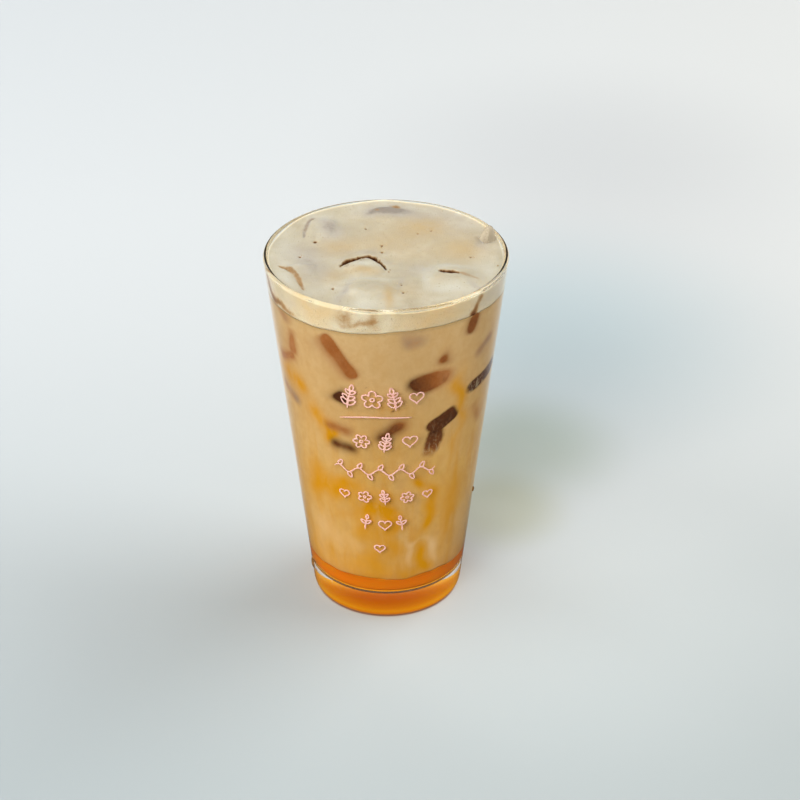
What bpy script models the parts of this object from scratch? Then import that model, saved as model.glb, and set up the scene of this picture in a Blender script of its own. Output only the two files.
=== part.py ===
"""Iced latte in a tapered tumbler: syrup, milky coffee and foam in layers, with ice breaking the foam.

Metres, +Z up. The origin is the centre of the tumbler's foot, on the table.
"""

from math import acos, cos, hypot, pi, radians, sin, tan

import bmesh
import bpy
from mathutils import Euler, Matrix, Vector, noise

# Tumbler
HEIGHT = 0.145
RIM_RADIUS = 0.0451
FOOT_RADIUS = 0.0291  # where the straight outer wall would meet the table
WALL = 0.0018
FLOOR = 0.011  # top of the thick glass base
HEEL_ROUND = 0.0020
FLOOR_ROUND = 0.0016
FOOT_RING_WIDTH = 0.0050
FOOT_HOLLOW = 0.0006
SLOPE = (RIM_RADIUS - FOOT_RADIUS) / HEIGHT

# Drink
GAP = 0.0003  # clearance between neighbouring pieces
SYRUP_TOP = 0.0192
FOAM_BOTTOM = 0.1355
FOAM_TOP = 0.1437
SYRUP_WAVE = 0.0006
FOAM_WAVE = 0.00035
FOAM_CLIMB = 0.0010  # how far the foam climbs the ice that breaks it
CLIMB_REACH = 0.0075  # from the middle of an ice block's edge outwards

# Ice
ICE_DENT = 0.0005
SLOT_SIZE = (0.0155, 0.0028, 0.0050)
SLOT_TURN = -5
CREVICE = 0.0016  # open seam in the foam behind the middle block

# Fineness
ROUND_STEPS = 72
ARC_STEPS = 3
FOAM_RINGS = 15
ICE_CUTS = 4

# name: centre (m), size (m), turn (degrees about X, Y, Z), squareness, taper towards the top
ICE = {
    "ice_centre": ((-0.0083, -0.0115, 0.1367), (0.0145, 0.0145, 0.0180), (7, 0, 37), 5.0, 0.08),
    "ice_front": ((-0.0058, -0.0295, 0.1368), (0.0190, 0.0140, 0.0170), (-7, 4, -4), 4.5, 0.08),
    "ice_right": ((0.0236, -0.0166, 0.1368), (0.0200, 0.0195, 0.0165), (-4, 3, -17), 4.0, 0.06),
    "ice_corner": ((0.0366, 0.0112, 0.1381), (0.0100, 0.0110, 0.0230), (-3, 13, 18), 2.8, 0.55),
    "ice_back": ((0.0008, 0.0333, 0.1357), (0.0175, 0.0145, 0.0180), (7, 6, 2), 4.5, 0.08),
    "ice_rear_left": ((-0.0240, 0.0218, 0.1354), (0.0150, 0.0165, 0.0190), (5, -7, -11), 4.5, 0.08),
    "ice_left": ((-0.0297, -0.0136, 0.1352), (0.0140, 0.0180, 0.0190), (4, 8, 22), 4.5, 0.08),
}


def clear_scene():
    for item in list(bpy.data.objects):
        bpy.data.objects.remove(item, do_unlink=True)


def material(name, colour, roughness, transmission=0.0, ior=1.45):
    made = bpy.data.materials.new(name)
    made.use_nodes = True
    shader = made.node_tree.nodes["Principled BSDF"]
    shader.inputs["Base Color"].default_value = (*colour, 1.0)
    shader.inputs["Roughness"].default_value = roughness
    shader.inputs["Metallic"].default_value = 0.0
    shader.inputs["Transmission Weight"].default_value = transmission
    shader.inputs["IOR"].default_value = ior
    return made


def add_object(name, bm, finish=None):
    """Turn a bmesh into a named, smoothly shaded object in the scene."""
    mesh = bpy.data.meshes.new(name)
    bmesh.ops.recalc_face_normals(bm, faces=bm.faces)
    bm.to_mesh(mesh)
    bm.free()
    mesh.shade_smooth()
    mesh.set_sharp_from_angle(angle=radians(35))
    made = bpy.data.objects.new(name, mesh)
    bpy.context.scene.collection.objects.link(made)
    if finish:
        mesh.materials.append(finish)
    return made


# Turned shapes


def inner_radius(z):
    return FOOT_RADIUS - WALL + SLOPE * z


def rounded(corners):
    """Outline through corners (r, z, round): each corner with a round is replaced by its tangent arc."""
    points = []
    for i, (r, z, size) in enumerate(corners):
        corner = Vector((r, z))
        if not size:
            points.append(corner)
            continue
        back = (Vector(corners[i - 1][:2]) - corner).normalized()
        ahead = (Vector(corners[i + 1][:2]) - corner).normalized()
        half = acos(back.dot(ahead)) / 2
        middle = corner + (back + ahead).normalized() * size / sin(half)
        start = corner + back * size / tan(half) - middle
        end = corner + ahead * size / tan(half) - middle
        sweep = start.angle_signed(end)
        for step in range(ARC_STEPS + 1):
            points.append(middle + Matrix.Rotation(-sweep * step / ARC_STEPS, 2) @ start)
    return points


def turned(outline, steps=ROUND_STEPS):
    """Spin an outline of (r, z) points round the Z axis into a closed bmesh."""
    bm = bmesh.new()
    verts = [bm.verts.new((point[0], 0.0, point[1])) for point in outline]
    edges = [bm.edges.new(pair) for pair in zip(verts, verts[1:])]
    bmesh.ops.spin(
        bm,
        geom=verts + edges,
        axis=(0, 0, 1),
        cent=(0, 0, 0),
        angle=2 * pi,
        steps=steps,
        use_merge=True,
    )
    bmesh.ops.remove_doubles(bm, verts=bm.verts, dist=1e-6)
    return bm


def make_tumbler(finish):
    ring = FOOT_RADIUS - FOOT_RING_WIDTH
    outline = rounded(
        [
            (0.0, FOOT_HOLLOW, 0),
            (ring - 2 * FOOT_HOLLOW, FOOT_HOLLOW, 0),
            (ring, 0.0, 0),
            (FOOT_RADIUS, 0.0, HEEL_ROUND),
            (RIM_RADIUS, HEIGHT, WALL * 0.45),
            (RIM_RADIUS - WALL, HEIGHT, WALL * 0.45),
            (inner_radius(FLOOR), FLOOR, FLOOR_ROUND),
            (0.0, FLOOR, 0),
        ]
    )
    return add_object("tumbler", turned(outline), finish)


# Waves where the layers meet


def syrup_level(x, y):
    """Height of the uneven line where syrup and milky coffee meet."""
    swirl = noise.noise(Vector((x, y, 0.0)) * 55.0)
    return SYRUP_TOP + 2 * SYRUP_WAVE * swirl


def foam_floor(x, y):
    return FOAM_BOTTOM + FOAM_WAVE * noise.noise(Vector((x, y, 0.3)) * 60.0)


def foam_level(x, y):
    """Height of the foam: soft waves, climbing a little wherever ice breaks through."""
    spot = Vector((x, y, 0.0))
    height = FOAM_TOP + FOAM_WAVE * noise.noise(spot * 90.0)
    room = max(0.0, 1 - (hypot(x, y) / inner_radius(FOAM_TOP)) ** 8)
    climb = 0.0
    for centre, size, *_ in ICE.values():
        edge = (size[0] + size[1]) / 4
        away = max(0.0, hypot(x - centre[0], y - centre[1]) - edge)
        climb = max(climb, 1 - away / CLIMB_REACH)
    return height + FOAM_CLIMB * climb * climb * room


def lay_on(bm, level, rest_z):
    """Move every vertex at height rest_z onto the surface level(x, y)."""
    for vert in bm.verts:
        if abs(vert.co.z - rest_z) < 1e-6:
            vert.co.z = level(vert.co.x, vert.co.y)


def disc(z, edge, rings):
    """Outline points of a level surface from the axis to its edge."""
    return [(edge * i / rings, z) for i in range(rings + 1)]


def make_syrup(finish):
    bottom = FLOOR + GAP
    skirt = rounded(
        [
            (0.0, bottom, 0),
            (inner_radius(bottom) - GAP, bottom, FLOOR_ROUND),
            (inner_radius(SYRUP_TOP) - GAP, SYRUP_TOP, 0),
        ]
    )
    top = disc(SYRUP_TOP, inner_radius(SYRUP_TOP) - GAP, 4)[-2::-1]
    bm = turned([*skirt, *top])
    lay_on(bm, syrup_level, SYRUP_TOP)
    return add_object("syrup", bm, finish)


def make_latte(finish):
    low = SYRUP_TOP + GAP
    high = FOAM_BOTTOM - GAP
    bottom = disc(low, inner_radius(low) - GAP, 4)
    top = disc(high, inner_radius(high) - GAP, 4)[::-1]
    bm = turned([*bottom, *top])
    lay_on(bm, lambda x, y: syrup_level(x, y) + GAP, low)
    lay_on(bm, lambda x, y: foam_floor(x, y) - GAP, high)
    return add_object("latte", bm, finish)


def make_foam(finish):
    bottom = disc(FOAM_BOTTOM, inner_radius(FOAM_BOTTOM) - GAP, 4)
    top = disc(FOAM_TOP, inner_radius(FOAM_TOP) - GAP, FOAM_RINGS)[::-1]
    bm = turned([*bottom, *top])
    lay_on(bm, foam_floor, FOAM_BOTTOM)
    lay_on(bm, foam_level, FOAM_TOP)
    return add_object("foam", bm, finish)


# Ice


def ice_bmesh(name):
    """A worn block: a gridded cube pulled onto a superellipsoid, with melted dents."""
    centre, size, turn, square, taper = ICE[name]
    drift = Vector((7.0 * list(ICE).index(name), 0, 0))
    bm = bmesh.new()
    bmesh.ops.create_cube(bm, size=2.0)
    bmesh.ops.subdivide_edges(bm, edges=bm.edges, cuts=ICE_CUTS, use_grid_fill=True)
    place = Matrix.Translation(centre) @ Euler([radians(a) for a in turn]).to_matrix().to_4x4()
    half = Vector(size) / 2
    for vert in bm.verts:
        spread = sum(abs(part) ** square for part in vert.co) ** (1 / square)
        worn = vert.co / spread
        dent = ICE_DENT * noise.noise(worn * 1.3 + drift)
        narrow = 1 - taper * (worn.z + 1) / 2
        local = Vector((worn.x * half.x * narrow, worn.y * half.y * narrow, worn.z * half.z))
        vert.co = place @ (local + worn.normalized() * dent)
    return bm


def swell(bm, by, behind=0.0):
    """Push a closed bmesh outwards along its normals, and further behind it where it meets the foam."""
    bm.normal_update()
    moved = []
    for vert in bm.verts:
        extra = behind * max(0.0, vert.normal.y) if vert.co.z > FOAM_BOTTOM + GAP else 0.0
        moved.append(vert.co + vert.normal * (by + extra))
    for vert, spot in zip(bm.verts, moved):
        vert.co = spot


def as_cutter(item):
    item.hide_render = True
    item.display_type = "WIRE"


def make_ice(finish):
    """The blocks, and a collection of slightly larger copies that cut room for them in the drink."""
    room = bpy.data.collections.new("ice_room")
    bpy.context.scene.collection.children.link(room)
    for name in ICE:
        add_object(name, ice_bmesh(name), finish)
        bm = ice_bmesh(name)
        swell(bm, GAP, CREVICE if name == "ice_centre" else 0.0)
        cutter = add_object(f"room_for_{name}", bm)
        bpy.context.scene.collection.objects.unlink(cutter)
        room.objects.link(cutter)
        as_cutter(cutter)
    return room


def cut_slot(block):
    """The long dimple in the top of a block, from the finger that froze it."""
    centre, size, turn, *_ = ICE[block.name]
    lean = Euler([radians(a) for a in turn]).to_matrix().to_4x4()
    top = Matrix.Translation(centre) @ lean @ Matrix.Translation((0, 0, size[2] / 2))
    bm = bmesh.new()
    shape = Matrix.Rotation(radians(SLOT_TURN), 4, "Z") @ Matrix.Diagonal((*SLOT_SIZE, 1))
    bmesh.ops.create_uvsphere(bm, u_segments=16, v_segments=8, radius=0.5, matrix=top @ shape)
    cutter = add_object("slot_shape", bm)
    as_cutter(cutter)
    cut = block.modifiers.new("slot", "BOOLEAN")
    cut.operation = "DIFFERENCE"
    cut.object = cutter


def make_room(layer, room):
    cut = layer.modifiers.new("room_for_ice", "BOOLEAN")
    cut.operation = "DIFFERENCE"
    cut.operand_type = "COLLECTION"
    cut.collection = room


def main():
    clear_scene()
    clear_glass = material("clear_glass", (0.96, 0.98, 0.97), 0.02, transmission=1.0, ior=1.5)
    ice = material("ice", (0.86, 0.85, 0.80), 0.15, transmission=0.6, ior=1.31)
    make_tumbler(clear_glass)
    make_syrup(material("orange_syrup", (0.75, 0.26, 0.01), 0.15))
    latte = make_latte(material("milky_coffee", (0.62, 0.40, 0.18), 0.35))
    foam = make_foam(material("milk_foam", (0.72, 0.60, 0.40), 0.55))
    room = make_ice(ice)
    make_room(latte, room)
    make_room(foam, room)
    cut_slot(bpy.data.objects["ice_right"])


main()
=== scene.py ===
# %% [markdown]
# # Iced latte in a tapered tumbler
#
# A glass of iced latte is five things that touch: a clear tumbler, a spoonful of orange
# syrup, milky coffee, a cap of foam, and ice that shows wherever it presses on the wall or
# breaks the foam. Each of them is built here as its own mesh, at its real size in metres,
# and then given a finish made of shader nodes.
#
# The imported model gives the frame. Its solids are simple on purpose, so every one of them
# is replaced below by a finer piece that stands in exactly the same place.

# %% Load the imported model
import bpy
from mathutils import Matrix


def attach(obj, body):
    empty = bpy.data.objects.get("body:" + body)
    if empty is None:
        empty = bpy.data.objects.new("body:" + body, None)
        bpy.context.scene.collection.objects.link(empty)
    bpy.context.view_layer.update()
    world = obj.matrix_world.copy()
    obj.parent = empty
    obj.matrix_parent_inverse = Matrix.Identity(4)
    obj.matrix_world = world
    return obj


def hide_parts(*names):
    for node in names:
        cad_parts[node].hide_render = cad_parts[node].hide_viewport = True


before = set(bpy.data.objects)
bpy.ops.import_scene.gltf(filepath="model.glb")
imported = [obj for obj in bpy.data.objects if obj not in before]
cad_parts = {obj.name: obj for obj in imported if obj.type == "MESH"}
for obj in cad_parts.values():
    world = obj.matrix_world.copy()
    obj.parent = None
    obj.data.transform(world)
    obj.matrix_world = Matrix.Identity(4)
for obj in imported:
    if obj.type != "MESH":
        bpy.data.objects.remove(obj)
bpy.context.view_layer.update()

from collections import namedtuple
from math import cos, exp, hypot, pi, radians, sin, sqrt, tan

import bmesh
import bpy
import numpy as np
from mathutils import Euler, Matrix, Vector, noise
from mathutils.bvhtree import BVHTree

print("pieces in the packed model:", ", ".join(sorted(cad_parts)))

# %% [markdown]
# ## Sizes
#
# The same few numbers describe every piece, because the drink takes its shape from the
# glass. The inside of the tumbler is a plain cone, so one function gives its radius at any
# height. A liquid that fills a glass must not leave a sliver of air along the wall, or the
# wall turns silvery; SOAK makes every liquid reach a hair's breadth into the glass.

# %% Sizes in metres
HEIGHT = 0.145
RIM_RADIUS = 0.0451
FOOT_RADIUS = 0.0291
WALL = 0.0018
FLOOR = 0.011
SYRUP_TOP = 0.0192
FOAM_LEVEL = 0.1434
SLOPE = (RIM_RADIUS - FOOT_RADIUS) / HEIGHT
SOAK = 0.0001


def inner_radius(z):
    return FOOT_RADIUS - WALL + SLOPE * z


def outer_radius(z):
    return FOOT_RADIUS + SLOPE * z


print("inside the rim:", round(2000 * inner_radius(HEIGHT), 1), "mm across")

# %% [markdown]
# ## Pieces
#
# A piece is a mesh with a finish and a place in the scene. `add_piece` ties it to the part's
# one body, says what it is made of, and names the plain solid that it stands in for.


# %% Piece helpers
def put_in_scene(name, data):
    """A new object for a mesh, a lamp or a camera, linked to the scene."""
    made = bpy.data.objects.new(name, data)
    bpy.context.scene.collection.objects.link(made)
    return made


def add_piece(name, mesh, finish, slot, *replaced):
    """Put a finished mesh in the scene, riding on the part's one body."""
    piece = put_in_scene(name, mesh)
    mesh.materials.append(finish)
    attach(piece, "root")
    if replaced:
        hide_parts(*replaced)


def smooth_mesh(name, points, faces):
    mesh = bpy.data.meshes.new(name)
    mesh.from_pydata(points, [], faces)
    mesh.shade_smooth()
    return mesh


print("plain solids to stand in for:", len(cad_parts))

# %% [markdown]
# ## Meshes made of rings
#
# Everything round here is a stack of rings. `ring_mesh` takes a grid of points, one row to
# a ring, and skins it; a row whose points all meet on the axis closes the shape. Working
# on whole grids with numpy keeps a hundred thousand points quick, and the same grid later
# carries values such as the thickness of the milk in front of the ice.


# %% Ring helpers
def ring_mesh(name, rows):
    """Skin a grid (rings, steps, 3); first and last rings shrink to a point on the axis."""
    rings, steps = rows.shape[:2]
    body = rows[1:-1].reshape(-1, 3)
    points = np.vstack([rows[0].mean(0), body, rows[-1].mean(0)])
    here = np.arange(steps)
    after = np.roll(here, -1)
    faces = []
    for ring in range(rings - 3):
        low, high = 1 + ring * steps, 1 + (ring + 1) * steps
        faces.append(np.stack([low + here, low + after, high + after, high + here], 1))
    quads = np.vstack(faces)
    last = len(points) - 1
    top = 1 + (rings - 3) * steps
    caps = [(0, 1 + b, 1 + a) for a, b in zip(here, after)]
    caps += [(last, top + a, top + b) for a, b in zip(here, after)]
    return smooth_mesh(name, points.tolist(), quads.tolist() + caps)


def turned(outline, steps):
    """A grid for ring_mesh from an outline of (radius, height), starting under the middle."""
    turn = np.linspace(-pi, pi, steps, endpoint=False)
    r, z = np.array(outline).T
    x = np.outer(r, np.sin(turn))
    y = np.outer(r, -np.cos(turn))
    return np.stack([x, y, np.repeat(z[:, None], steps, 1)], 2)


def store(mesh, name, values):
    """Keep one number for each point of a mesh, for its material to read."""
    layer = mesh.attributes.new(name, "FLOAT", "POINT")
    layer.data.foreach_set("value", np.asarray(values, np.float32))


print("a small cone as a grid:", turned([(0, 0), (1, 0), (0, 1)], 8).shape)

# %% [markdown]
# Glass has no sharp corners. `rounded` takes the corners of an outline and puts an arc of
# the wanted radius at each, so that a whole tumbler can be written down in a few numbers.


# %% Round corners
def rounded(corners, arc_steps=6):
    """Outline through corners (r, z, round), with an arc of that radius at each corner."""
    points = []
    for i, (r, z, size) in enumerate(corners):
        corner = Vector((r, z))
        if not size:
            points.append(tuple(corner))
            continue
        back = (Vector(corners[i - 1][:2]) - corner).normalized()
        ahead = (Vector(corners[i + 1][:2]) - corner).normalized()
        half = back.angle(ahead) / 2
        middle = corner + (back + ahead).normalized() * size / sin(half)
        start = corner + back * size / tan(half) - middle
        sweep = start.angle_signed(corner + ahead * size / tan(half) - middle)
        for step in range(arc_steps + 1):
            spot = middle + Matrix.Rotation(-sweep * step / arc_steps, 2) @ start
            points.append(tuple(spot))
    return points


print("one round corner has", len(rounded([(0, 0, 0), (1, 0, 0.2), (1, 1, 0)])) - 2, "points")

# %% [markdown]
# ## A short language for materials
#
# A material is a graph of nodes. Wiring each one by hand takes four lines, so these small
# helpers make a node, plug its inputs and hand back its output. An input may be a plain
# number, a colour or another node's output. Colours are written the way a paint chart gives
# them, 0 to 255, and turned into the linear light that the renderer counts in.


# %% Node helpers
def paint(red, green, blue):
    """A colour from 0 to 255 as linear light."""
    return tuple(((c / 255 + 0.055) / 1.055) ** 2.4 for c in (red, green, blue)) + (1.0,)


def feed(tree, source, socket):
    if isinstance(source, bpy.types.NodeSocket):
        tree.links.new(source, socket)
    elif source is not None:
        socket.default_value = source


def node(tree, kind, *inputs, out=0, **settings):
    """Add a node, set its properties, plug its inputs in order, and return one output."""
    made = tree.nodes.new(kind)
    for key, value in settings.items():
        setattr(made, key, value)
    for socket, source in zip(made.inputs, inputs):
        feed(tree, source, socket)
    return made.outputs[out] if made.outputs else made


def sum_of(tree, how, *inputs, clamp=False):
    return node(tree, "ShaderNodeMath", *inputs, operation=how, use_clamp=clamp)


print("cream in linear light:", [round(c, 3) for c in paint(215, 195, 150)[:3]])

# %% [markdown]
# The next helpers make what a finish is mixed from: masks that fade from one height or
# distance to another, blends of two colours, colour ramps, clouds of noise, and numbers that
# were stored on the mesh.


# %% Masks and colours
def step_between(tree, value, low, high, to_low=0.0, to_high=1.0):
    """Smoothly from to_low to to_high while value goes from low to high."""
    ends = (low, high, to_low, to_high)
    return node(tree, "ShaderNodeMapRange", value, *ends, interpolation_type="SMOOTHSTEP")


def mixed(tree, share, first, second, how="MIX"):
    """Blend two colours by a share from 0 to 1."""
    made = tree.nodes.new("ShaderNodeMix")
    made.data_type = "RGBA"
    made.blend_type = how
    made.clamp_factor = True
    share_socket, first_socket, second_socket = 0, 6, 7
    feed(tree, share, made.inputs[share_socket])
    feed(tree, first, made.inputs[first_socket])
    feed(tree, second, made.inputs[second_socket])
    return made.outputs[2]


def ramp(tree, value, *stops):
    """Colours along a value from 0 to 1; each stop is (place, colour)."""
    made = tree.nodes.new("ShaderNodeValToRGB")
    line = made.color_ramp
    line.elements[0].position, line.elements[0].color = stops[0]
    line.elements[1].position, line.elements[1].color = stops[-1]
    for place, colour in stops[1:-1]:
        line.elements.new(place).color = colour
    feed(tree, value, made.inputs[0])
    return made.outputs[0]


def own_place(tree):
    """The place of a point in metres, counted from the object's own origin."""
    return node(tree, "ShaderNodeTexCoord", out="Object")


def own_axes(tree, place):
    """A place taken apart into its X, Y and Z."""
    parts = node(tree, "ShaderNodeSeparateXYZ", place).node
    return parts.outputs["X"], parts.outputs["Y"], parts.outputs["Z"]


def distance(tree, place, spot):
    """How far a place is from a spot, in metres."""
    return node(tree, "ShaderNodeVectorMath", place, spot, out="Value", operation="DISTANCE")


def stretched(tree, by):
    """Places scaled by three numbers: a small third one draws a pattern out up and down."""
    return node(tree, "ShaderNodeMapping", own_place(tree), (0, 0, 0), (0, 0, 0), by)


def clouds(tree, place, scale, detail=3.0, rough=0.5, warp=0.0):
    """Soft noise, about 0.5 on average."""
    return node(
        tree, "ShaderNodeTexNoise", place, None, scale, detail, rough, None, None, None, warp
    )


def stored(tree, name):
    """A number that was stored on the mesh."""
    return node(tree, "ShaderNodeAttribute", attribute_name=name, out="Fac")


def bumped(tree, strength, depth, height):
    """A normal that lets a height stand out by a depth in metres."""
    return node(tree, "ShaderNodeBump", strength, depth, None, height)


print("a cloud is measured in metres: scale 500 makes spots of about 2 mm")

# %% [markdown]
# Every finish opens with an empty graph and ends in one shader. Naming the sockets of the
# Principled shader as keywords keeps the recipe of a material readable.


# %% Materials
def new_material(name):
    """A material with an empty graph; returns it and the graph."""
    made = bpy.data.materials.new(name)
    made.use_nodes = True
    made.node_tree.nodes.clear()
    return made, made.node_tree


def principled(tree, **sockets):
    """A Principled BSDF with the named sockets set or joined."""
    made = tree.nodes.new("ShaderNodeBsdfPrincipled")
    for key, source in sockets.items():
        feed(tree, source, made.inputs[key.replace("_", " ")])
    return made.outputs[0]


def finish_with(tree, shader):
    node(tree, "ShaderNodeOutputMaterial", shader)


print("material helpers are ready")

# %% [markdown]
# ## Camera
#
# A drink like this is usually looked down on a little, from a little under a metre away,
# with a long lens that keeps the tapered wall straight. The height and tilt are chosen so
# that the oval of the rim and the whole foot are both in view.

# %% Camera
CAMERA_SPOT = (0, -0.6533, 0.4790)
CAMERA_TILT = 58.69
CAMERA_SWING = -0.45

camera = put_in_scene("camera", bpy.data.cameras.new("camera"))
camera.data.lens = 90
camera.data.sensor_width = 36
camera.location = CAMERA_SPOT
camera.rotation_euler = (radians(CAMERA_TILT), 0, radians(CAMERA_SWING))
bpy.context.scene.camera = camera
bpy.context.scene.view_settings.view_transform = "Standard"
print("camera stands", round(hypot(*CAMERA_SPOT), 2), "m from the table's centre")

# %% [markdown]
# ## Table and light
#
# Clear glass has no colour of its own: it shows what stands round it. So the surroundings
# come first, and the table is a part of them. It lies a hair under the foot, so that no two
# faces share one place.
#
# A photographer puts a polarising filter on the lens to take the white sheen off wet and
# glassy things. Here the table in front of the glass does the same: it looks dimmer to a ray
# that comes from a mirror reflection. Behind the glass it keeps its full light, which draws
# the bright edges. Light and shade are also painted into the table's colour: it is cooler to
# the left and darker towards the front, a painted warm glow beside the glass to its right
# stands for light that has come through the drink, a painted cool shadow lies behind it, a
# painted brighter patch lies in front, and a thin painted contact shadow draws the line under
# the foot.


# %% Table finish
# painted light and shade in soft spots on the table: middle and reach in metres, and the colour
# it is multiplied by: painted warm glow beside the glass, painted cool shadow behind, a painted
# brighter patch in front
PAINTED_LIGHT_SPOTS = (
    ((0.046, 0.046, 0), 0.038, paint(238, 236, 218)),
    ((0.060, 0.095, 0), 0.056, paint(231, 235, 224)),
    ((0.075, 0.200, 0), 0.150, paint(229, 241, 245)),
    ((0.115, 0.400, 0), 0.180, paint(243, 243, 244)),
    ((0.090, -0.035, 0), 0.110, (1.17, 1.17, 1.17, 1)),
)
TINT_CORE = 0.01
# the painted contact shadow under the foot: its outer radius and its fade, in metres
CONTACT_SHADOW_RING = 0.0290
CONTACT_SHADOW_FADE = 0.0010
DIM_TABLE = (0.06, 0.065, 0.065, 1)


def table_colour(tree, place, across, away):
    """Painted light and shade: cooler to the left, darker in front, a contact shadow under the foot
    and the spots.
    """
    # painted light: cooler to the left and darker towards the front, standing for how the lamps
    # fall on the table
    cool = step_between(tree, across, -0.45, 0.55)
    left_right = mixed(tree, cool, paint(190, 195, 197), paint(192, 193, 190))
    far = step_between(tree, away, -0.28, 0.35)
    shade = mixed(tree, far, paint(200, 207, 208), paint(249, 248, 248))
    colour = mixed(tree, 1.0, left_right, shade, "MULTIPLY")
    reach = distance(tree, place, (0, 0, 0))
    # painted contact shadow: a dark ring on the table just under the edge of the foot
    glass_contact = step_between(tree, reach, CONTACT_SHADOW_RING, CONTACT_SHADOW_RING - CONTACT_SHADOW_FADE, 0.0, 0.85)
    colour = mixed(tree, glass_contact, colour, paint(96, 48, 8))
    # painted light and shade from the soft spots
    for spot, wide, tint in PAINTED_LIGHT_SPOTS:
        share = step_between(tree, distance(tree, place, spot), wide, TINT_CORE)
        colour = mixed(tree, share, colour, tint, "MULTIPLY")
    return colour


def make_table_finish():
    finish, tree = new_material("matt_white_table")
    place = own_place(tree)
    across, away, _ = own_axes(tree, place)
    colour = table_colour(tree, place, across, away)
    bump = bumped(tree, 0.04, 0.0002, clouds(tree, place, 900.0, 2.0))
    lit = principled(tree, Base_Color=colour, Roughness=0.75, Normal=bump)
    dim = node(tree, "ShaderNodeBsdfDiffuse", DIM_TABLE)
    width = sum_of(tree, "MAXIMUM", sum_of(tree, "ABSOLUTE", across), 0.001)
    behind = sum_of(tree, "DIVIDE", away, width)
    front = step_between(tree, behind, 1.6, 0.2)
    mirrored = node(tree, "ShaderNodeLightPath", out="Is Glossy Ray")
    mirrored = sum_of(tree, "MULTIPLY", mirrored, front)
    finish_with(tree, node(tree, "ShaderNodeMixShader", mirrored, lit, dim))
    return finish


table_finish = make_table_finish()
print("the table is tinted by", len(PAINTED_LIGHT_SPOTS), "soft spots")

# %% [markdown]
# The table itself is a flat grid, far larger than what is seen of it, so that its edge never
# shows in the glass.

# %% Table
TABLE_HALF = 3.0
TABLE_DROP = 0.00015


def make_table():
    bm = bmesh.new()
    bmesh.ops.create_grid(bm, x_segments=12, y_segments=12, size=TABLE_HALF)
    bmesh.ops.translate(bm, verts=bm.verts, vec=(0, 0, -TABLE_DROP))
    mesh = bpy.data.meshes.new("table")
    bm.to_mesh(mesh)
    bm.free()
    mesh.materials.append(table_finish)
    table = put_in_scene("table", mesh)


make_table()
print("table is", 2 * TABLE_HALF, "m square")

# %% [markdown]
# Daylight comes in by a wide window at the front left and is thrown back, weaker, by pale
# walls on both sides: four discs, each nearly as wide as it is far. They are kept out of what
# is seen in the glass and through it, because a sharp bright oval there would look like a
# studio lamp, and the rounded rim would gather them into sparks.
#
# The sky has a dark card on either side, low down, as is used to draw the edges of a glass.
# It is faint as a source of light, and bright only where it is seen through glass or in it.


# %% Lamps and sky
LAMP_REACH = 3.0
LAMP_AIM = Vector((0, 0, 0.07))
DAYLIGHT = (1.0, 0.985, 0.96)
WALL_LIGHT = (0.98, 0.99, 1.0)


def soft_lamp(name, heading, height, width, power, colour):
    """A disc lamp that looks at the middle of the glass; heading is 0 at +X, 90 at +Y."""
    lamp = bpy.data.lights.new(name, "AREA")
    lamp.shape = "DISK"
    lamp.size = width
    lamp.energy = power
    lamp.color = colour
    stand = put_in_scene(name, lamp)
    turn, lift = radians(heading), radians(height)
    spot = Vector((cos(turn) * cos(lift), sin(turn) * cos(lift), sin(lift))) * LAMP_REACH
    stand.location = spot + LAMP_AIM
    stand.rotation_euler = spot.to_track_quat("Z", "Y").to_euler()
    stand.visible_glossy = False
    stand.visible_transmission = False


def make_sky():
    world = bpy.data.worlds.new("pale_room")
    bpy.context.scene.world = world
    world.use_nodes = True
    tree = world.node_tree
    tree.nodes.clear()
    heading = node(tree, "ShaderNodeTexCoord", out="Generated")
    across, _, up = own_axes(tree, heading)
    card = step_between(tree, sum_of(tree, "ABSOLUTE", across), 0.72, 0.95)
    low = mixed(tree, card, (0.82, 0.84, 0.83, 1), (0.20, 0.21, 0.18, 1))
    sky = mixed(tree, step_between(tree, up, 0.05, 0.35), low, (0.88, 0.92, 0.94, 1))
    faint = node(tree, "ShaderNodeBackground", sky, 0.20)
    full = node(tree, "ShaderNodeBackground", sky, 0.80)
    rays = node(tree, "ShaderNodeLightPath").node.outputs
    seen = sum_of(tree, "MAXIMUM", rays["Is Camera Ray"], rays["Is Transmission Ray"])
    mix = node(tree, "ShaderNodeMixShader", seen, faint, full)
    node(tree, "ShaderNodeOutputWorld", mix)


soft_lamp("window_near", 237, 36, 2.85, 58, DAYLIGHT)
soft_lamp("window_low", 243, 27, 1.8, 66, DAYLIGHT)
soft_lamp("wall_right", 20, 32, 3.6, 146, WALL_LIGHT)
soft_lamp("wall_left", 165, 30, 3.3, 82, WALL_LIGHT)
make_sky()
print("four lamps, one sky")

# %% [markdown]
# ## The tumbler
#
# A pressed glass tumbler: thin straight walls that lean out, a soft round rim, and a thick
# heavy foot with a shallow domed hollow under it, so that it stands on a ring; the dome also
# throws the colour of the syrup up to the eye. It is turned from one outline, finely enough
# that no facet shows in its reflections.
#
# Glass is a Principled shader with its transmission at 1. Light rays that only ask "is the
# lamp blocked?" are let straight through by mixing in a transparent shader for them;
# without that the drink inside would be as dark as if the glass were painted.


# %% Clear glass
def make_glass():
    finish, tree = new_material("clear_glass")
    glass = principled(
        tree,
        Base_Color=(0.975, 0.985, 0.975, 1),
        Roughness=0.0,
        IOR=1.5,
        Metallic=0.0,
        Transmission_Weight=1.0,
    )
    through = node(tree, "ShaderNodeBsdfTransparent", (0.97, 0.98, 0.97, 1))
    asks = node(tree, "ShaderNodeLightPath", out="Is Shadow Ray")
    finish_with(tree, node(tree, "ShaderNodeMixShader", asks, glass, through))
    return finish


print("clear glass is ready")

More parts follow.
